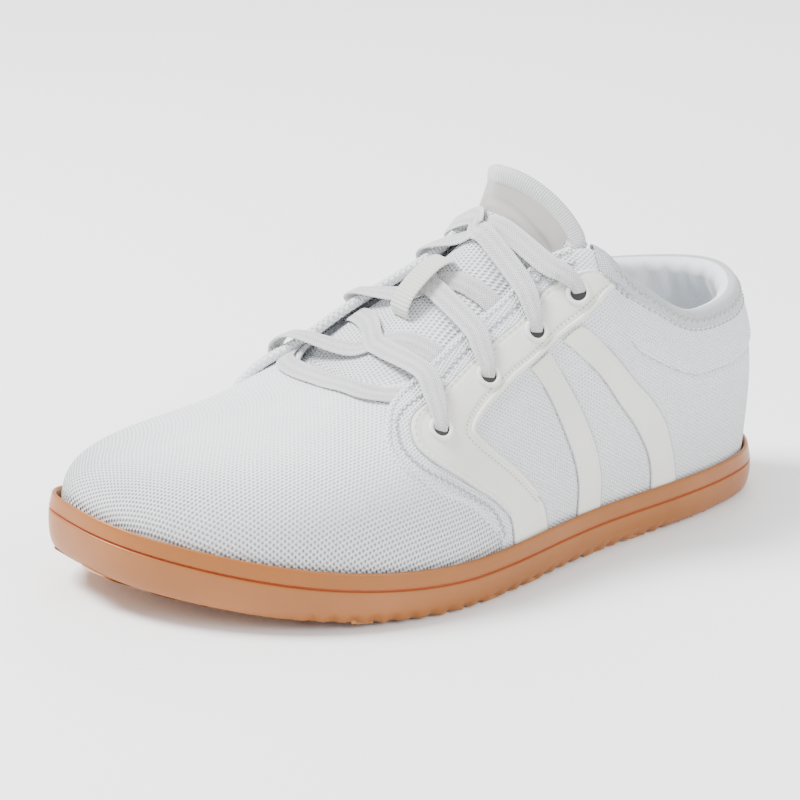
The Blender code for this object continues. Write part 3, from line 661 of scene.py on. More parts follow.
WHITE = (0.81, 0.83, 0.86)
RUBBER_ROUGH = 0.42
LOOKS = {
    # For each knit, the tone after the thread colour is the painted shade in its holes.
    "vamp": knit_look("knit_vamp", 0.0018, WHITE, (0.20, 0.21, 0.23), 0.95, 0.20, 0.0009),
    "quarter": knit_look("knit_quarter", 0.0014, WHITE, (0.44, 0.46, 0.49), 0.50, 0.35, 0.0008),
    "tongue": knit_look("knit_tongue", 0.0017, WHITE, (0.26, 0.27, 0.29), 0.6, 0.7, 0.0008),
    "lining": knit_look("knit_lining", 0.0011, (0.80, 0.83, 0.86), (0.62, 0.65, 0.69), 0.4, 0.4,
                        0.0002),
    "binding": lace_look("rib_binding", (0.79, 0.80, 0.82), 0.0009, 0.02, 0.0006, 0.0, 0.62),
    "lace": lace_look("twill_lace", (0.88, 0.88, 0.885), 0.0009, 0.0016, 0.0006),
    "webbing": lace_look("ribbed_webbing", (0.74, 0.745, 0.71), 0.0014, 0.02, 0.0008, 0.0, 0.7),
    "film": film_look("smooth_film", (0.73, 0.73, 0.665)),
    "patch": film_look("bare_patch", (0.40, 0.385, 0.37)),
    "ring": film_look("eyelet_ring", (0.72, 0.73, 0.70)),
    "rubber": rubber_look("gum_side", (0.300, 0.093, 0.0065), (0.21, 0.050, 0.004)),
    "lug": rubber_look("gum_lug", (0.42, 0.165, 0.036), (0.30, 0.08, 0.014)),
    # Groove and dimple tones are the same gum painted darker: painted shade in the tread's
    # recesses and the parting groove.
    "groove": rubber_look("gum_groove_painted_shade", (0.27, 0.026, 0.003), (0.20, 0.014, 0.002)),
    "dimple": rubber_look("gum_dimple_painted_shade", (0.36, 0.064, 0.010), (0.26, 0.04, 0.005)),
    "thread": new_look("white_thread", (0.80, 0.80, 0.79), 0.6)[0],
    # Grey seam look: painted shade in and beside white stitches and along film edges.
    "seam": new_look("painted_shade_thread", (0.44, 0.45, 0.46), 0.8)[0],
    # Dark grey look: painted shadow lines and painted shade in stitch holes.
    "shadow": new_look("painted_shadow_thread", (0.33, 0.33, 0.32), 0.8)[0],
    # Near-black look for eyelet holes: painted shade inside the shoe.
    "hole": new_look("painted_shade_hole", (0.03, 0.03, 0.03), 0.9)[0],
}
print("looks:", ", ".join(LOOKS))

# %% [markdown]
# ## Sole
#
# The sole is one moulded rubber cup. Its side is a ring of points lofted down from the lip,
# past the parting groove, to the tread. Where the tread shows at the side, its lower edge has
# small notches, as in the photograph.

# %% Sole side
SOLE_PROFILE = [
    # inset, up, toe_build
    (0.0031, 0.0080, 0.0), (0.0031, 0.0145, 1.0), (0.0029, 0.0164, 1.0), (0.0024, 0.0171, 1.0),
    (0.0018, 0.0172, 1.0), (0.0014, 0.0168, 1.0), (0.0011, 0.0158, 1.0), (0.0007, 0.0140, 1.0),
    (0.0004, 0.0124, 1.0), (0.0003, 0.0119, 1.0), (0.0009, 0.0116, 1.0), (0.0010, 0.0112, 1.0),
    (0.0003, 0.0108, 1.0), (0.0001, 0.0102, 0.9), (0.0000, 0.0080, 0.7), (0.0001, 0.0056, 0.4),
    (0.0004, 0.0036, 0.2), (0.0009, 0.0020, 0.1), (0.0016, 0.0010, 0.0), (0.0028, 0.0008, 0.0),
    (0.0046, 0.0014, 0.0), (0.0060, 0.0019, 0.0),
]
TREAD_BASE = 0.0018
NOTCH_PITCH, NOTCH_DEEP = 0.0072, 0.0011
LINE_ROWS = (9.2 / 21, 11.8 / 21)


def sole_side_place(a, b):
    profile = smooth_path(SOLE_PROFILE, 3)
    row = np.rint(b * (len(profile) - 1)).astype(int)
    inset, up, build = profile[row].T
    ring = outline(a)
    along = share_along(ring)
    teeth = np.abs(np.mod(a * GIRTH / NOTCH_PITCH, 1.0) * 2 - 1)
    notch = ease(0.0045, 0.0015, up) * ease(0.20, 0.26, along) * ease(0.86, 0.80, along)
    inset = inset + NOTCH_DEEP * notch * ease(0.35, 0.75, teeth)
    flat = ring - inset[:, None] * outward(a)
    along = share_along(flat)
    height = up + build * toe_build(along) + spring(along)
    return np.concatenate([flat, height[:, None]], -1), np.stack([a * GIRTH, up], -1)


def shade_rows(piece, band, look):
    """Gives the faces whose row share lies in the band another look."""
    number = list(piece.data.materials).index(look)
    flat = np.array([uv.vector[1] for uv in piece.data.uv_layers["shares"].uv])
    for face in piece.data.polygons:
        if band[0] < flat[face.loop_start:face.loop_start + face.loop_total].mean() < band[1]:
            face.material_index = number


side = lay_cloth("outsole_side", 560, 63, sole_side_place, [LOOKS["rubber"], LOOKS["dimple"]],
                 ["outsole"])
# The parting groove rows take the darker dimple look: painted shade in the groove.
shade_rows(side, LINE_ROWS, LOOKS["dimple"])

# %% [markdown]
# The tread is a field of small three-cornered lugs with a dimple, made once and repeated in
# slanted rows. Toe and heel carry wavy ridges instead, and a smooth plate with a rim and a
# groove lies under the arch.

# %% Sole underside
TOE_PATCH = [(-0.060, 0.897), (-0.0416, 0.894), (-0.0232, 0.890), (-0.0078, 0.875),
             (0.0097, 0.833), (0.017, 0.815), (0.0263, 0.805), (0.0427, 0.802), (0.060, 0.800)]
HEEL_PATCH = [(-0.050, 0.098), (-0.0194, 0.074), (-0.0023, 0.050), (0.0062, 0.042),
              (0.0143, 0.040), (0.040, 0.055)]
RIDGE_PITCH, RIDGE_LOW, RIDGE_HIGH = 0.0043, 0.0003, 0.0013
ROW_WAY, ROW_STEP = np.array([-0.925, -0.380]), np.array([0.380, -0.925])
LUG_PITCH, ROW_PITCH, LUG_ACROSS, LUG_DEEP = 0.0066, 0.0090, 0.0091, 0.0016
SOLE_REACH, LUGS_A_WAY = 0.19, 22
EDGE_ROOM, PATCH_ROOM, PLATE_ROOM = 0.0024, 0.0022, 0.0034
PLATE = [
    # along, x
    (0.540, 0.0104), (0.500, -0.0010), (0.474, -0.0074), (0.466, -0.0066), (0.440, -0.0033),
    (0.399, -0.0022), (0.357, -0.0059), (0.324, -0.0039), (0.312, -0.0007), (0.338, 0.0055),
    (0.397, 0.0140), (0.464, 0.0161), (0.516, 0.0140),
]


def sole_sides(along):
    """Inner and outer edge of the outline at shares of the length."""
    inner = np.interp(along, FINE_ALONG[FINE_TOE:][::-1], outline(FINE)[FINE_TOE:, 0][::-1])
    outer = np.interp(along, FINE_ALONG[:FINE_TOE + 1], outline(FINE)[:FINE_TOE + 1, 0])
    return inner, outer


def patch_share(along, x):
    """How far a spot lies inside the ridged patches, in metres; negative outside them."""
    toe = along - np.interp(x, *np.transpose(TOE_PATCH))
    heel = np.interp(x, *np.transpose(HEEL_PATCH)) - along
    return np.maximum(toe, heel) * LENGTH


def underside_height(along, x):
    inside = patch_share(along, x)
    ridge = 0.5 + 0.5 * np.cos(inside / RIDGE_PITCH * 2 * math.pi)
    patch = RIDGE_LOW + RIDGE_HIGH * ridge**1.5
    return TREAD_BASE + (patch - TREAD_BASE) * ease(0.0, 0.0006, inside)


def underside_place(a, b):
    """Floor of the tread, between the edges of the sole."""
    along = 0.006 + 0.988 * (0.5 - 0.5 * np.cos(math.pi * a))
    inner, outer = sole_sides(along)
    inset = np.minimum(0.0040, 0.42 * (outer - inner))
    x = inner + inset + (outer - inner - 2 * inset) * b
    height = underside_height(along, x) + spring(along)
    return np.stack([x, (0.5 - along) * LENGTH, height], -1), np.stack([x, along * LENGTH], -1)


def shade_underside(piece):
    for face in piece.data.polygons:
        x, y, _ = face.center
        face.material_index = int(patch_share(0.5 - y / LENGTH, x) > 0.0003)


under = lay_cloth("outsole_underside", 420, 100, underside_place,
                  [LOOKS["groove"], LOOKS["lug"]], ["outsole"], turn=True)
# The tread floor off the ridged patches takes the darker groove look: painted shade between the
# lugs.
shade_underside(under)


def lug_template():
    """Three-cornered lug, 1 across, with soft corners and a dimple; its top looks down."""
    net = bmesh.new()
    bmesh.ops.create_circle(net, cap_ends=True, segments=3, radius=0.62)
    bmesh.ops.translate(net, verts=net.verts[:], vec=(0, -0.155, 0))
    bmesh.ops.bevel(net, geom=net.verts[:], offset=0.20, segments=3, profile=0.5,
                    affect="VERTICES")
    top = bmesh.ops.extrude_face_region(net, geom=net.faces[:])
    moved = [item for item in top["geom"] if isinstance(item, bmesh.types.BMVert)]
    bmesh.ops.translate(net, verts=moved, vec=(0, 0, -1.0))
    bmesh.ops.scale(net, verts=moved, vec=(0.93, 0.93, 1.0))
    cap = [face for face in net.faces
           if len(face.verts) > 4 and face.calc_center_median().z < -0.5]
    bmesh.ops.inset_region(net, faces=cap, thickness=0.035, depth=0.0)
    bmesh.ops.translate(net, verts=cap[0].verts[:], vec=(0, 0, -0.06))
    bmesh.ops.inset_region(net, faces=cap, thickness=0.125, depth=0.0)
    bmesh.ops.inset_region(net, faces=cap, thickness=0.035, depth=0.0)
    bmesh.ops.translate(net, verts=cap[0].verts[:], vec=(0, 0, 0.40))
    # The dimple floor takes the darker dimple look: painted shade in the recess.
    cap[0].material_index = 1
    bmesh.ops.recalc_face_normals(net, faces=net.faces)
    mesh = bpy.data.meshes.new("lug")
    net.to_mesh(mesh)
    net.free()
    return mesh


def lug_size(along):
    """Lugs are widest under the ball and smallest in the waist."""
    return np.interp(along, (0.0, 0.16, 0.30, 0.50, 0.62, 1.0),
                     (0.92, 0.90, 0.72, 0.70, 1.0, 1.0))


def lug_spots():
    """Slanted rows of spots, every other lug turned over."""
    far = -SOLE_REACH
    while far < SOLE_REACH:
        size = float(lug_size(0.5 + 0.925 * far / LENGTH))
        start = ROW_STEP * far
        for number in range(-LUGS_A_WAY, LUGS_A_WAY + 1):
            spot = start + ROW_WAY * number * LUG_PITCH * size
            along = 0.5 - spot[1] / LENGTH
            inner, outer = sole_sides(np.clip(along, 0.0, 1.0))
            if 0.01 < along < 0.99 and inner + 0.002 < spot[0] < outer - 0.002:
                yield spot, along, size, number % 2
        far += ROW_PITCH * size


def near_plate(x, along):
    """True where a spot lies on the smooth plate or right beside it."""
    ring = np.array([(px, a * LENGTH) for a, px in PLATE])
    spot = np.array([x, along * LENGTH])
    following = np.roll(ring, -1, axis=0)
    edge = following - ring
    share = np.clip(((spot - ring) * edge).sum(1) / (edge**2).sum(1), 0, 1)
    gap = np.linalg.norm(ring + share[:, None] * edge - spot, axis=1).min()
    crosses = (ring[:, 1] > spot[1]) != (following[:, 1] > spot[1])
    rise = np.where(edge[:, 1] == 0, 1, edge[:, 1])
    reach = ring[:, 0] + (spot[1] - ring[:, 1]) / rise * edge[:, 0]
    return gap < PLATE_ROOM or (crosses & (spot[0] < reach)).sum() % 2 == 1


def build_lugs():
    """Copies the lug to each spot that lies off the ridged patches and the plate."""
    template = lug_template()
    shape = np.array([vert.co for vert in template.vertices])
    net = bmesh.new()
    for spot, along, size, flip in lug_spots():
        if patch_share(along, spot[0]) > -PATCH_ROOM or near_plate(spot[0], along):
            continue
        first = len(net.verts)
        net.from_mesh(template)
        net.verts.ensure_lookup_table()
        turn = math.atan2(ROW_WAY[1], ROW_WAY[0]) + (math.pi if flip else 0.0)
        across = LUG_ACROSS * size
        x = spot[0] + across * (shape[:, 0] * math.cos(turn) - shape[:, 1] * math.sin(turn))
        y = spot[1] + across * (shape[:, 0] * math.sin(turn) + shape[:, 1] * math.cos(turn))
        run = np.clip(0.5 - y / LENGTH, 0.004, 0.996)
        inner, outer = sole_sides(run)
        x = np.clip(x, inner + EDGE_ROOM, outer - EDGE_ROOM)
        z = np.maximum(TREAD_BASE + 0.0001 + shape[:, 2] * LUG_DEEP, 0.00005) + spring(run)
        for vert, place in zip(net.verts[first:], zip(x, y, z)):
            vert.co = place
    print("lug corners:", len(net.verts))
    return finish_piece("outsole_lugs", net, [LOOKS["lug"], LOOKS["dimple"]], ["outsole"])


lugs = build_lugs()
lugs.data.shade_flat()


PLATE_LOW, PLATE_HIGH = 0.312, 0.540
PLATE_THICK, PLATE_GROOVE = 0.0013, 0.0010
PLATE_LEFT = smooth_path(sorted(PLATE[:9]), 8)
PLATE_RIGHT = smooth_path(sorted(PLATE[8:] + PLATE[:1]), 8)


def plate_sides(along):
    return np.interp(along, *PLATE_LEFT.T), np.interp(along, *PLATE_RIGHT.T)


def plate_place(a, b):
    """Flat rim, a groove inside it, and the smooth middle."""
    along = PLATE_LOW + (PLATE_HIGH - PLATE_LOW) * a
    left, right = plate_sides(along)
    border = np.minimum(b, 1 - b) * (right - left)
    groove = ease(0.0015, 0.0018, border) - ease(0.0026, 0.0029, border)
    rise = PLATE_THICK * ease(0.0, 0.0004, border) - PLATE_GROOVE * groove
    x = left + (right - left) * b
    height = TREAD_BASE + 0.0002 - rise + spring(along)
    return np.stack([x, (0.5 - along) * LENGTH, height], -1), np.stack([x, along * LENGTH], -1)


def shade_plate(piece):
    for face in piece.data.polygons:
        x, y, _ = face.center
        left, right = plate_sides(0.5 - y / LENGTH)
        face.material_index = int(0.0016 < min(x - left, right - x) < 0.0028)


plate = lay_cloth("outsole_plate", 100, 90, plate_place, [LOOKS["lug"], LOOKS["groove"]],
                  ["outsole"], turn=True)
# The groove ring of the plate takes the darker groove look: painted shade in the groove.
shade_plate(plate)

# %% [markdown]
# ## Insole and lining
#
# A thin cloth-covered insole lies in the cup. The lining is the same last shape set inward,
# as a sock of finer knit would lie against the foot.

# %% Insole and lining
INSOLE_ROOM, INSOLE_UP, INSOLE_EDGE, INSOLE_THICK = 0.0058, 0.0030, 0.0006, 0.0024


def insole_place(a, b):
    along = 0.016 + 0.966 * (0.5 - 0.5 * np.cos(math.pi * a))
    inner, outer = sole_sides(along)
    room = np.minimum(INSOLE_ROOM, 0.40 * (outer - inner))
    x = inner + room + (outer - inner - 2 * room) * b
    edge = np.minimum(b, 1 - b) * (outer - inner)
    height = FOOTBED + GAP + INSOLE_UP + spring(along) - INSOLE_EDGE * ease(0.004, 0.0, edge)
    return np.stack([x, (0.5 - along) * LENGTH, height], -1), np.stack([x, along * LENGTH], -1)


insole = lay_cloth("insole_cloth", 140, 50, insole_place, LOOKS["lining"], ["insole"],
                   thick=INSOLE_THICK)


def lining_place(a, b):
    around, up = a, 0.03 + 0.955 * b
    points = upper_point(around, up, np.full_like(a, -WALL))
    return points, np.stack([a * GIRTH, b * 0.1], -1)


lining = lay_cloth("lining", 300, 44, lining_place, LOOKS["lining"], ["upper"])

# %% [markdown]
# ## Vamp and quarters
#
# The vamp is knitted with open holes over the toes and more closely toward the throat. The
# quarters are one firmer piece round the heel. They lie over the vamp, and their folded
# front edge stands a little proud, most of all at the corner beside the first eyelet.

# %% Vamp and quarters
VAMP_THICK, QUARTER_THICK = 0.0009, 0.0012
HEM_OUTER, HEM_INNER = 0.0014, 0.0019
FLAP_FRONT = [
    # up, round
    (0.00, 0.350), (0.096, 0.350), (0.191, 0.355), (0.262, 0.364), (0.337, 0.374), (0.416, 0.387),
    (0.490, 0.397), (0.567, 0.404), (0.612, 0.409), (0.721, 0.415), (0.833, 0.414), (0.900, 0.410),
    (0.950, 0.402), (0.985, 0.392), (1.000, 0.384),
]
FLAP_UP, FLAP_ROUND = np.transpose(smooth_path(FLAP_FRONT, 6))


def flap_edge(up):
    return np.interp(up, FLAP_UP, FLAP_ROUND)


def flap_relief(around, up):
    """How far the quarters stand off the last: a folded front edge and a raised corner."""
    around = np.mod(around, 1.0)
    side = np.minimum(around, 1 - around)
    front = flap_edge(up)
    lift = 0.0006 * ease(front - 0.040, front, side)
    proud = np.where(around > 0.5, 0.0026, 0.0013)
    lift += proud * np.exp(-((side - 0.408) / 0.020)**2 - ((up - 0.86) / 0.11)**2)
    lift += np.where(around > 0.5, 0.0012, 0.0) * ease(0.80, 0.97, up) * ease(0.27, 0.31, side)
    lift += 0.0007 * ease(0.93, 0.985, up) * ease(0.26, 0.29, side)
    lift -= 0.0012 * np.exp(-((up - pad_seam(side)) / 0.010)**2) * ease(0.225, 0.205, side)
    lift += 0.0011 * ease(0.0, 0.05, up - pad_seam(side)) * ease(0.225, 0.205, side)
    return lift


def pad_seam(side):
    """Soft crease where the collar padding ends inside the quarter."""
    return np.interp(side, (0.0, 0.06, 0.13, 0.20, 0.24), (0.66, 0.64, 0.62, 0.70, 0.80))


def vamp_place(a, b):
    """Vamp over the toes; its sides reach a little under the flaps."""
    up = 0.02 + 0.98 * b
    edge = flap_edge(np.minimum(up, 0.93)) - 0.014
    edge = np.where(up > 0.93, np.interp(up, (0.93, 1.0), (edge.max() - 0.004, 0.398)), edge)
    around = edge + (1 - 2 * edge) * a
    points = upper_point(around, up, np.zeros_like(a))
    face = outward(around + foot_shift(around))
    drop = top_edge(around)[:, 2] - points[:, 2]
    return points, points[:, :2] + 0.75 * face * drop[:, None]


vamp = lay_cloth("vamp", 220, 100, vamp_place, LOOKS["vamp"], ["upper"], thick=VAMP_THICK,
                 turn=True)


def measure_cloth(rounds=241, levels=33):
    """Lengths along the last, round from the heel and up from the sole, on a fine grid."""
    around, up = np.meshgrid(np.linspace(0, 1, rounds), np.linspace(0, 1, levels), indexing="ij")
    points = upper_face(around, up)
    round_way = np.linalg.norm(np.diff(points, axis=0), axis=-1)
    up_way = np.linalg.norm(np.diff(points, axis=1), axis=-1)
    grid = np.zeros(points.shape[:2] + (2,))
    grid[1:, :, 0] = np.cumsum(round_way, axis=0)
    grid[:, 1:, 1] = np.cumsum(up_way, axis=1)
    return grid


CLOTH_GRID = measure_cloth()


def arc_flat(arounds, ups):
    """Flat coordinates in metres for a cloth that runs round the heel."""
    flat = read_grid(CLOTH_GRID, np.mod(arounds, 1.0), ups)
    whole = read_grid(CLOTH_GRID, np.ones_like(ups), ups)
    flat[:, 0] -= np.where(arounds < 0, whole[:, 0], 0.0)
    return flat


def quarter_place(a, b):
    """Quarters in one piece, from the outer flap round the heel to the inner flap."""
    up = 0.02 + 0.98 * b
    front = flap_edge(up)
    share = 2 * a - 1
    around = front * share
    points = upper_point(around, up, flap_relief(around, up))
    return points, arc_flat(around, up)


quarters = lay_cloth("quarters", 360, 84, quarter_place, LOOKS["quarter"], ["upper"],
                     thick=QUARTER_THICK, turn=True)


def edge_cord(name, rows, radius, look, inner_side, lift=0.0, along=260):
    """Thin rolled edge along a line drawn in shares on the upper."""
    line = smooth_path(rows, 10)
    around = 1 - line[:, 0] if inner_side else line[:, 0]
    points, faces = on_upper(around, line[:, 1], flap_relief(around, line[:, 1]) + lift)
    return lay_ribbon(name, points, faces, [radius * 2, radius * 2], radius * 2, look, (),
                      1.0, along, 1.0)


ZIGZAG = [
    # round, up
    (0.262, 0.955), (0.300, 0.948), (0.340, 0.944), (0.370, 0.935), (0.390, 0.915),
    (0.403, 0.880), (0.410, 0.830), (0.411, 0.760), (0.409, 0.690), (0.402, 0.590),
    (0.391, 0.490), (0.380, 0.405), (0.370, 0.338), (0.359, 0.270), (0.352, 0.200),
    (0.349, 0.150),
]
HEM = [(round_, up) for up, round_ in FLAP_FRONT[2:]] + [(0.370, 1.0), (0.340, 1.0),
                                                        (0.300, 1.0), (0.262, 1.0)]
for side_name, inner_side, radius in (("outer", False, HEM_OUTER), ("inner", True, HEM_INNER)):
    hem = edge_cord("flap_hem_" + side_name, HEM, radius, LOOKS["quarter"], inner_side,
                    -0.6 * radius)
    line = smooth_path(ZIGZAG, 10)
    around = 1 - line[:, 0] if inner_side else line[:, 0]
    points, faces = on_upper(around, line[:, 1], flap_relief(around, line[:, 1]) + 0.0002)
    # The zigzag threads use the grey seam look: painted shade between white threads.
    lay_stitches("flap_zigzag_" + side_name, points, faces, LOOKS["seam"], 0.0013, 0.0026,
                 0.0007, zigzag=1.0)

# %% [markdown]
# ## Film panels and straps
#
# The eyestay and the side straps are thin white film bonded over the knit. Each is drawn by
# two edges in shares on the upper, and its border is pressed down a little. The side of this
# shoe carries two plain separate straps.

# %% Film panels
FILM_UP, STRAP_UP, FILM_THICK, FILM_WIDE = 0.0008, 0.0009, 0.0007, 0.012
DOTS = {"pitch": 0.0016, "long": 0.0009, "thick": 0.00034}
EYESTAY = [
    # front_round, front_up, rear_round, rear_up
    (0.240, 0.900, 0.236, 0.890), (0.250, 0.925, 0.243, 0.860), (0.266, 0.915, 0.252, 0.815),
    (0.282, 0.905, 0.264, 0.768), (0.300, 0.895, 0.279, 0.740), (0.320, 0.890, 0.296, 0.724),
    (0.340, 0.888, 0.313, 0.722), (0.360, 0.885, 0.330, 0.718), (0.378, 0.880, 0.342, 0.703),
    (0.392, 0.868, 0.352, 0.688), (0.401, 0.840, 0.361, 0.670), (0.405, 0.795, 0.367, 0.648),
    (0.405, 0.735, 0.369, 0.622), (0.402, 0.665, 0.367, 0.590), (0.393, 0.560, 0.360, 0.520),
    (0.381, 0.459, 0.350, 0.445), (0.371, 0.385, 0.340, 0.380), (0.360, 0.320, 0.330, 0.318),
    (0.350, 0.255, 0.319, 0.255), (0.343, 0.195, 0.308, 0.195), (0.338, 0.050, 0.298, 0.050),
]
STRAP_FRONT = [
    (0.321, 0.700, 0.297, 0.702), (0.308, 0.600, 0.286, 0.610), (0.295, 0.500, 0.273, 0.505),
    (0.285, 0.415, 0.262, 0.415), (0.276, 0.332, 0.253, 0.340), (0.270, 0.260, 0.246, 0.265),
    (0.267, 0.190, 0.242, 0.190), (0.266, 0.050, 0.240, 0.050),
]
STRAP_REAR = [
    (0.282, 0.708, 0.266, 0.740), (0.262, 0.612, 0.246, 0.668), (0.237, 0.515, 0.219, 0.605),
    (0.214, 0.432, 0.193, 0.520), (0.199, 0.345, 0.175, 0.420), (0.190, 0.270, 0.166, 0.310),
    (0.185, 0.190, 0.160, 0.200), (0.182, 0.050, 0.154, 0.050),
]


def film_point(edges, a, b, inner_side, lift):
    """Spot on a panel: a runs along its two edges and b from the front to the rear edge."""
    line = edge_row(edges, a)
    around = line[:, 0] + (line[:, 2] - line[:, 0]) * b
    up = line[:, 1] + (line[:, 3] - line[:, 1]) * b
    around = 1 - around if inner_side else around
    return around, up, upper_point(around, up, flap_relief(around, up) + lift)


def edge_row(edges, a):
    """Both edges of a panel at shares a of its length."""
    line = smooth_path(edges, 12)
    spots = np.linspace(0, 1, len(line))
    return np.stack([np.interp(a, spots, column) for column in line.T], -1)


def lay_film(name, edges, node, look, inner_side, columns, rows, lift=FILM_UP):
    """Film panel between two edges; its border is pressed down behind a small ridge."""
    middle = film_point(edges, np.linspace(0, 1, 60), np.full(60, 0.5), inner_side, 0.0)[2]
    length = path_length(middle)

    def place(a, b):
        border = np.minimum(b, 1 - b) * FILM_WIDE
        press = ease(0.0008, 0.0, border) + 0.5 * np.exp(-((border - 0.0018) / 0.0004)**2)
        points = film_point(edges, a, b, inner_side, lift - 0.0004 * press)[2]
        return points, np.stack([a * length, b * FILM_WIDE], -1)

    piece = lay_cloth(name, columns, rows, place, look, [node], thick=FILM_THICK,
                      turn=inner_side)
    return piece


def seam_line(name, edges, b, inner_side, look, start=0.0, end=1.0, lift=0.0009, **thread):
    """Row of stitches along a panel, at share b of the way from its front to its rear edge."""
    a = np.linspace(start, end, 120)
    around, up, _ = film_point(edges, a, np.full_like(a, b), inner_side, 0.0)
    points, faces = on_upper(around, up, flap_relief(around, up) + lift)
    return lay_stitches(name, points, faces, look, **thread)


for side_name, inner_side in (("outer", False), ("inner", True)):
    lay_film("eyestay_film_" + side_name, EYESTAY, "eyestay_" + side_name, LOOKS["film"],
             inner_side, 220, 60)
    for title, edges in (("front", STRAP_FRONT), ("rear", STRAP_REAR)):
        lay_film("%s_strap_film_%s" % (title, side_name), edges,
                 "strap_%s_%s" % (title, side_name), LOOKS["film"], inner_side, 110, 40, STRAP_UP)
    fold = [(row[2], row[3]) for row in EYESTAY[:-2]]
    cord = edge_cord("eyestay_fold_" + side_name, fold, 0.0009, LOOKS["film"], inner_side, 0.0006)
    # Dark grey dots along the rear of the eyestay: painted shade in the stitch holes.
    seam_line("eyestay_stitch_" + side_name, EYESTAY, 0.86, inner_side, LOOKS["shadow"],
              0.03, 0.93, 0.00085, **DOTS)
    seam_line("eyestay_front_stitch_" + side_name, EYESTAY, 0.06, inner_side, LOOKS["thread"],
              0.02, 0.93, 0.0009)
    # Thin grey cords along both edges of each panel: painted shade lines at the pressed film
    # edges.
    for title, edges in (("eyestay", EYESTAY), ("front", STRAP_FRONT), ("rear", STRAP_REAR)):
        start = 2 if title == "eyestay" else 1
        for end, column in (("front", 0), ("rear", 2)):
            rows = [(row[column], row[column + 1]) for row in edges[start:]]
            line = edge_cord("%s_%s_line_%s" % (title, end, side_name), rows, 0.0003,
                             LOOKS["seam"], inner_side, 0.0004, 150)
    for title, edges in (("front", STRAP_FRONT), ("rear", STRAP_REAR)):
        for b in (0.12, 0.88):
            seam_line("%s_strap_stitch_%s_%d" % (title, side_name, round(b * 100)), edges, b,
                      inner_side, LOOKS["thread"], 0.12, 0.80, 0.00075)

# %% [markdown]
# ## Collar
#
# The collar is a padded roll from flap to flap round the heel. Its outside is the quarter's
# knit with a stitched binding, its inside the softer lining. The padding thins toward the
# laced flaps.

# %% Collar
COLLAR_SECTION = [
    # up, offset, padding
    (0.905, 0.0004, 0.0), (0.918, 0.0011, 0.0), (0.950, 0.0014, 0.0), (0.985, 0.0014, 0.0),
    (1.008, 0.0010, 0.0), (1.019, 0.0000, 0.0), (1.021, -0.0010, -0.15), (1.016, -0.0022, -0.55),
    (0.996, -0.0022, -0.92), (0.950, -0.0022, -1.0), (0.880, -0.0022, -0.96),
    (0.790, -0.0022, -0.72), (0.710, -0.0022, -0.26), (0.682, -0.0020, 0.0), (0.780, -0.0017, 0.0),
    (0.880, -0.0015, 0.0), (0.900, -0.0008, 0.0),
]
COLLAR_PAD, COLLAR_END = 0.0050, 0.246
COLLAR_INSIDE = (0.36, 1.0)
COLLAR_SEWN, HEEL_SEWN = 0.232, 0.215


def collar_place(a, b):
    """Roll round the top edge; it gets thinner toward its two ends."""
    around = COLLAR_END * (2 * a - 1)
    section = smooth_path(COLLAR_SECTION + [COLLAR_SECTION[0]], 4)
    spots = np.linspace(0, 1, len(section))
    up, offset, pad = (np.interp(b, spots, column) for column in section.T)
    ends = np.abs(around) / COLLAR_END
    fade = (1 - 0.62 * ends**2) * ease(1.0, 0.93, ends)
    thin = 0.35 + 0.65 * ease(1.0, 0.95, ends)
    wave = 0.00035 * np.sin(around * 260) * ease(0.9, 0.6, np.abs(b - 0.6) * 4)
    offset = np.where(offset > 0, offset * thin, offset)
    points = upper_point(around, up, offset + pad * (COLLAR_PAD + wave) * fade)
    return points, np.stack([around * GIRTH * 0.9, b * 0.11], -1)


collar = lay_cloth("collar_roll", 260, 68, collar_place, [LOOKS["quarter"], LOOKS["lining"]],
                   ["collar"], turn=True)
shade_rows(collar, COLLAR_INSIDE, LOOKS["lining"])


def collar_seam(name, up, offset, look, **thread):
    """Row of stitches along the collar."""
    around = np.linspace(-COLLAR_SEWN, COLLAR_SEWN, 400)
    points, faces = on_upper(around, np.full_like(around, up), offset)
    return lay_stitches(name, points, faces, look, **thread)


# Low and high collar seams use the grey seam look: painted shade on white thread.
collar_seam("collar_seam_low", 0.904, 0.0012, LOOKS["seam"], pitch=0.0030, long=0.0025,
            thick=0.0010)
# Grey stitches just under the low seam: a painted shadow line below the collar roll.
collar_seam("collar_seam_shadow", 0.896, 0.0004, LOOKS["shadow"], pitch=0.0030, long=0.0016,
            thick=0.0005)
collar_seam("collar_seam_high", 0.965, 0.0016, LOOKS["seam"], pitch=0.0018, long=0.0030,
            thick=0.0006, zigzag=1.0)


def heel_seam():
    """Stitched line where the collar padding ends."""
    around = np.linspace(-HEEL_SEWN, HEEL_SEWN, 300)
    up = pad_seam(np.abs(around))
    points, faces = on_upper(around, up, flap_relief(around, up) + 0.0002)
    # The grey seam look paints shade along the crease at the pad seam.
    return lay_stitches("heel_seam", points, faces, LOOKS["seam"], 0.0019, 0.0016, 0.0005)


heel_seam()

# %% [markdown]
# ## Tongue
#
# The tongue follows the same rows as in the solid model, resampled smooth. Its top carries a
# plain smooth patch and a ribbed binding folded round the edge.

# %% Tongue
TONGUE_ROWS = [
    # throat_round, ridge_along, ridge_up
    (0.428, 0.664, 0.590), (0.410, 0.640, 0.622), (0.393, 0.607, 0.675), (0.375, 0.571, 0.745),
    (0.357, 0.536, 0.820), (0.340, 0.503, 0.890), (0.323, 0.472, 0.958), (0.306, 0.447, 1.015),
    (0.290, 0.430, 1.062), (0.275, 0.4215, 1.105),
]
TONGUE_UNDER, TONGUE_MIDDLE, TONGUE_THICK = 0.0014, -0.090, 0.0036
TONGUE_TOP = (0.4195, 1.197)
TONGUE_TOP_OUTER, TONGUE_TOP_INNER = 0.260, 0.215
TONGUE_TOP_DROP, TONGUE_TOP_BACK = 0.193, 0.067


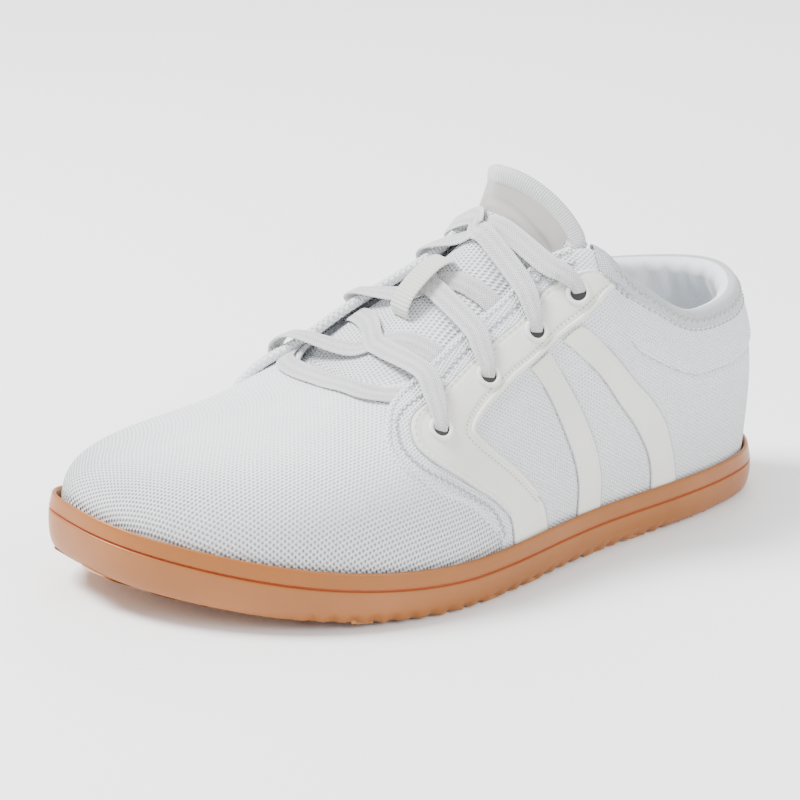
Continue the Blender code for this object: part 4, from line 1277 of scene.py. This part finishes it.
def tongue_row(around, along, up):
    """One row of the tongue, from its outer edge over the ridge to its inner edge."""
    under = -(WALL + TONGUE_UNDER)
    ups = np.array([0.86, 0.94, 1.0, 1.025])
    outer = upper_point(around, ups, np.full(4, under))
    inner = upper_point(1 - around, ups, np.full(4, under))
    x, y = plan_point(along, TONGUE_MIDDLE)
    ridge = np.array([x, y, up * RISE])
    share = np.array([0.36, 0.70])
    bend = np.stack([share, share, np.sin(share * math.pi / 2)], axis=1)
    near = outer[3] + (ridge - outer[3]) * bend
    far = inner[3] + (ridge - inner[3]) * bend
    return np.concatenate([outer, near, [ridge], far[::-1], inner[::-1]])


def tongue_faces():
    """Rows of 13 points from the front of the throat to the free top edge."""
    front = [upper_point(around, 0.84, -(WALL + 1.6 * TONGUE_UNDER))
             for around in np.linspace(0.43, 0.57, 13)]
    rows = [np.array(front)] + [tongue_row(*row) for row in TONGUE_ROWS]
    spread = np.linspace(1, -1, 13)
    x, y = plan_point(TONGUE_TOP[0], TONGUE_MIDDLE)
    half = np.where(spread > 0, TONGUE_TOP_OUTER, TONGUE_TOP_INNER) * WIDTH
    top = np.stack([x + half * spread,
                    y + TONGUE_TOP_BACK * LENGTH * np.abs(spread)**1.5,
                    (TONGUE_TOP[1] - TONGUE_TOP_DROP * np.abs(spread)**2.5) * RISE], axis=1)
    last = rows[-1]
    rows += [last + (top - last) * share for share in (0.3, 0.6, 0.85, 1.0)]
    return np.array(rows)


def grid_normals(faces):
    normal = unit(np.cross(np.gradient(faces, axis=0), np.gradient(faces, axis=1)))
    return normal if normal[..., 2].mean() > 0 else -normal


TONGUE_FACE = tongue_faces()


def finer(rows, steps):
    """Resamples a grid of points smoothly, both ways."""
    wide = np.array([smooth_path(row, steps) for row in rows])
    return np.array([smooth_path(column, steps) for column in wide.transpose(1, 0, 2)]
                    ).transpose(1, 0, 2)


TONGUE_FINE = finer(TONGUE_FACE, 8)
TONGUE_FINE_NORMAL = grid_normals(TONGUE_FINE)


def tongue_spot(row, column, lift):
    normal = unit(read_grid(TONGUE_FINE_NORMAL, row, column))
    return read_grid(TONGUE_FINE, row, column) + np.asarray(lift)[..., None] * normal, normal


def tongue_place(a, b):
    points, _ = tongue_spot(a, b, np.zeros_like(a))
    middle = read_grid(TONGUE_FINE, a, np.full_like(a, 0.5))
    return points, np.stack([(b - 0.5) * 0.075, middle[:, 1] * 0.75 + points[:, 2]], -1)


tongue = lay_cloth("tongue_knit", 112, 96, tongue_place, LOOKS["tongue"], ["tongue"],
                   thick=TONGUE_THICK)


def patch_place(a, b):
    """Bare patch that widens toward the tongue's top, with a thin flat border."""
    row = 0.665 + 0.310 * a
    half = 0.36 + 0.09 * a
    column = 0.5 + half * (2 * b - 1)
    border = np.minimum(np.minimum(a, 1 - a), np.minimum(b, 1 - b)) * 12
    points, _ = tongue_spot(row, column, 0.0001 + 0.0004 * np.minimum(border, 1.0))
    return points, np.stack([b * 0.05, a * 0.04], -1)


patch = lay_cloth("tongue_patch", 60, 60, patch_place, LOOKS["patch"])


def tongue_binding():
    """Ribbed band folded over the tongue's free edge."""
    up_side = [(row, 0.035) for row in (0.70, 0.76, 0.82, 0.88, 0.93)]
    top = [(0.962, 0.07), (0.978, 0.18), (0.981, 0.34), (0.981, 0.5)]
    knots = up_side + top + [(row, 1 - column) for row, column in reversed(up_side + top[:-1])]
    line = smooth_path(knots, 8)
    points, faces = tongue_spot(line[:, 0], line[:, 1], np.full(len(line), -0.0016))
    wides = [0.004, 0.0062] + [0.0066] * 8 + [0.0062, 0.004]
    return lay_ribbon("tongue_binding", points, faces, wides, 0.0056, LOOKS["binding"], (),
                      0.7, 260, 0.7)


tongue_binding()

# %% [markdown]
# ## Eyelets and lace
#
# Small round-edged rings line four holes on each flap, with a dark disc of painted shade in each
# hole.

# %% Eyelets
RING_OUT, RING_IN, RING_HIGH, RING_SEAT = 0.0046, 0.0028, 0.0009, 0.0003


def ring_axes(around, up, offset):
    centre = upper_point(around, up, offset)
    axis = unit(upper_point(around, up, offset + 0.001) - centre)
    side = unit(np.cross(axis, np.array([0.0, 0.0, 1.0])))
    return centre, axis, side, np.cross(axis, side)


def build_ring(name, around, up):
    """Ring round an eyelet, with a dark disc of painted shade in its hole."""
    centre, axis, side, other = ring_axes(around, up, flap_relief(around, up) + FILM_UP)

    def place(a, b):
        turn, bend = a * 2 * math.pi, b * 2 * math.pi
        reach = (RING_OUT + RING_IN) / 2 + (RING_OUT - RING_IN) / 2 * np.cos(bend)
        lift = RING_HIGH * np.sin(bend) + RING_SEAT
        way = np.cos(turn)[:, None] * side + np.sin(turn)[:, None] * other
        return centre + way * reach[:, None] + axis * lift[:, None], np.stack([a, b], -1)

    ring = lay_cloth(name + "_ring", 40, 14, place, LOOKS["ring"], [name], weld=True)
    # Dark disc in the hole: painted shade inside the eyelet.
    net = bmesh.new()
    turn = Matrix((Vector(side), Vector(other), Vector(axis))).transposed().to_4x4()
    where = Matrix.Translation(Vector(centre + axis * 0.0002)) @ turn
    bmesh.ops.create_circle(net, cap_ends=True, segments=32, radius=RING_IN + 0.0003, matrix=where)
    finish_piece(name + "_hole", net, LOOKS["hole"], ())


for side_name, inner_side in (("outer", False), ("inner", True)):
    for number, (around, up) in enumerate(EYELETS, 1):
        build_ring("eyelet_%s_%d" % (side_name, number), 1 - around if inner_side else around, up)

# %% [markdown]
# One flat lace of plain twill runs over the throat: a straight bar at the front, then
# crossings that climb to the top holes. Each strand is a ribbon swept along its own line from
# the hole it leaves, and one crossing runs through a loop of ribbed webbing.

# %% Lace
THROAT = np.array([row[0] for row in TONGUE_ROWS])[::-1]
LACE_THICK, LACE_NARROW = 0.0012, 0.0046
LOOP_WIDE, LOOP_THICK = 0.0100, 0.0011
LEAVE_OUTER, LEAVE_INNER = -0.04, 0.26


def above_tongue(around, column, lift):
    row = len(THROAT) - np.interp(around, THROAT, np.arange(len(THROAT)))
    return tongue_spot(row / (len(TONGUE_FACE) - 1), column / 12.0, np.asarray(lift, float))


def lace_line(number, inner_side, lift, over_flap):
    """Knots and faces of one strand, from its eyelet up and across to the other flap."""
    (start, start_up), (end, end_up) = EYELETS[number - 1], EYELETS[number]
    pitch = start - end
    knots, faces = [], []

    def on_flap(around, up, offset, far=False):
        place = 1 - around if inner_side != far else around
        point, face = on_upper(np.array([place]), np.array([up]),
                               flap_relief(place, up) + FILM_UP + offset)
        knots.append(point[0])
        faces.append(face[0])

    def on_tongue(around, column, more):
        point, face = above_tongue(around, 12 - column if inner_side else column,
                                   more + LACE_THICK / 2)
        knots.append(point)
        faces.append(face)

    leave = (LEAVE_INNER if inner_side else LEAVE_OUTER) * pitch
    on_flap(start + 0.001, start_up - 0.020, -0.0016)
    on_flap(start + 0.1 * leave, start_up + 0.022, 0.0010)
    on_flap(start + 0.5 * leave, start_up + 0.50 * (1 - start_up), 0.0022)
    on_flap(start + leave, 0.985, 0.0018)
    on_tongue(start + 0.6 * leave, 5.0, lift + 0.0008)
    on_tongue(start - 0.06 * pitch, 6.0, lift)
    if over_flap:
        on_tongue(start - 0.33 * pitch, 7.0, lift + 0.0008)
        on_flap(end + 0.34 * pitch, 0.985, 0.0018, True)
        on_flap(end + 0.14 * pitch, end_up + 0.50 * (1 - end_up), 0.0024, True)
        on_flap(end, end_up + 0.024, 0.0010, True)
        on_flap(end - 0.001, end_up - 0.020, -0.0016, True)
    else:
        on_tongue(start - 0.28 * pitch, 7.2, lift + 0.0003)
        on_tongue(start - 0.42 * pitch, 8.3, lift / 2 + 0.0002)
        on_tongue(start - 0.50 * pitch, 9.4, 0.0002)
        on_tongue(start - 0.58 * pitch, 10.6, 0.0)
    return smooth_path(knots, 8), smooth_path(faces, 8)


def lace_wides(over_flap, count=60):
    share = np.linspace(0, 1, count)
    wides = LACE_NARROW + (LACE_WIDE - LACE_NARROW) * ease(0.0, 0.20, share)
    if over_flap:
        far_end = LACE_NARROW + (LACE_WIDE - LACE_NARROW) * ease(1.0, 0.80, share)
        wides = np.minimum(wides, far_end)
    return wides


for number in (1, 2, 3):
    node = "lace_cross_%d%d" % (number, number + 1)
    for title, inner_side, lift in (("over", False, LACE_THICK * 0.9), ("under", True, 0.0)):
        line, faces = lace_line(number, inner_side, lift, number == 3)
        piece = lay_ribbon("%s_%s" % (node, title), line, faces, lace_wides(number == 3),
                           LACE_THICK, LOOKS["lace"], [node], 0.9, 200)


def lace_bar():
    """Straight strand at the front of the throat."""
    knots, faces = [], []
    for around, up, lift in ((0.398, 0.93, 0.0002), (0.412, 0.950, 0.0010), (0.425, 0.965, 0.0014),
                             (0.450, 0.985, 0.0012), (0.500, 0.990, 0.0010),
                             (0.550, 0.985, 0.0012), (0.575, 0.965, 0.0014),
                             (0.588, 0.950, 0.0010), (0.602, 0.93, 0.0002)):
        point, face = on_upper(np.array([around]), np.array([up]), lift)
        knots.append(point[0])
        faces.append(face[0])
    return lay_ribbon("lace_front_bar", smooth_path(knots, 8), smooth_path(faces, 8),
                      [LACE_WIDE * 0.92] * 2, LACE_THICK, LOOKS["lace"], ["lace_bar"], 0.9, 160)


lace_bar()


def lace_loop():
    """Loop of ribbed webbing on the tongue that the second crossing runs through."""
    middle = EYELETS[1][0]
    rise = 2 * LACE_THICK + 0.0015
    knots, faces = [], []
    for shift, lift in ((0.0185, 0.0), (0.0165, 0.6), (0.010, 1.0), (0.0, 1.12), (-0.010, 1.0),
                        (-0.0165, 0.6), (-0.0185, 0.0)):
        point, face = above_tongue(middle + shift, 6.0, 0.0009 + lift * (rise + LOOP_THICK))
        knots.append(point)
        faces.append(face)
    return lay_ribbon("lace_keeper_loop", smooth_path(knots, 8), smooth_path(faces, 8),
                      [LOOP_WIDE] * 2, LOOP_THICK, LOOKS["webbing"], ["lace_keeper"], 0.9, 140)


lace_loop()

# %% [markdown]
# ## Floor and light
#
# A pale sweep of floor and three soft lamps give the even, nearly shadowless light of the
# photograph, with a gentle contact shadow under the sole.

# %% Floor and light
FLOOR_TONE, FLOOR_SHADE = (0.93, 0.93, 0.93), (0.85, 0.85, 0.85)
SKY_POWER = 1.15
LAMPS = [
    # name, place, size, power
    ("key", (-0.55, -0.75, 1.35), (0.6, 0.6), 68.0),
    ("side", (1.3, 0.3, 0.9), (0.9, 0.7), 14.0),
    ("back", (-0.9, 0.9, 0.9), (0.8, 0.6), 10.0),
]


def build_floor():
    net = bmesh.new()
    bmesh.ops.create_grid(net, x_segments=8, y_segments=8, size=6.0)
    look, tree, shader = new_look("pale_floor", FLOOR_TONE, 0.9)
    soft = use(tree, "uneven", Place=place_of(tree), Scale=3.0)
    tone = mix(tree, ramp(tree, soft["Broad"], 0.3, 0.7, 0.0, 0.02), FLOOR_TONE, FLOOR_SHADE)
    tree.links.new(tone, shader.inputs["Base Color"])
    mesh = bpy.data.meshes.new("floor")
    net.to_mesh(mesh)
    net.free()
    mesh.materials.append(look)
    floor = bpy.data.objects.new("floor", mesh)
    bpy.context.scene.collection.objects.link(floor)


def add_lamp(name, place, size, power):
    lamp = bpy.data.lights.new(name, "AREA")
    lamp.shape = "RECTANGLE"
    lamp.size, lamp.size_y = size
    lamp.energy = power
    made = bpy.data.objects.new(name, lamp)
    made.location = place
    made.rotation_mode = "QUATERNION"
    made.rotation_quaternion = (Vector(place) - Vector((0, 0, 0.05))).to_track_quat("Z", "Y")
    bpy.context.scene.collection.objects.link(made)


def set_world():
    world = bpy.data.worlds.new("studio")
    bpy.context.scene.world = world
    world.use_nodes = True
    sky = world.node_tree.nodes["Background"]
    sky.inputs["Color"].default_value = (1.0, 1.0, 1.0, 1.0)
    sky.inputs["Strength"].default_value = SKY_POWER


build_floor()
set_world()
for lamp_row in LAMPS:
    add_lamp(*lamp_row)
print("lamps:", len(LAMPS))
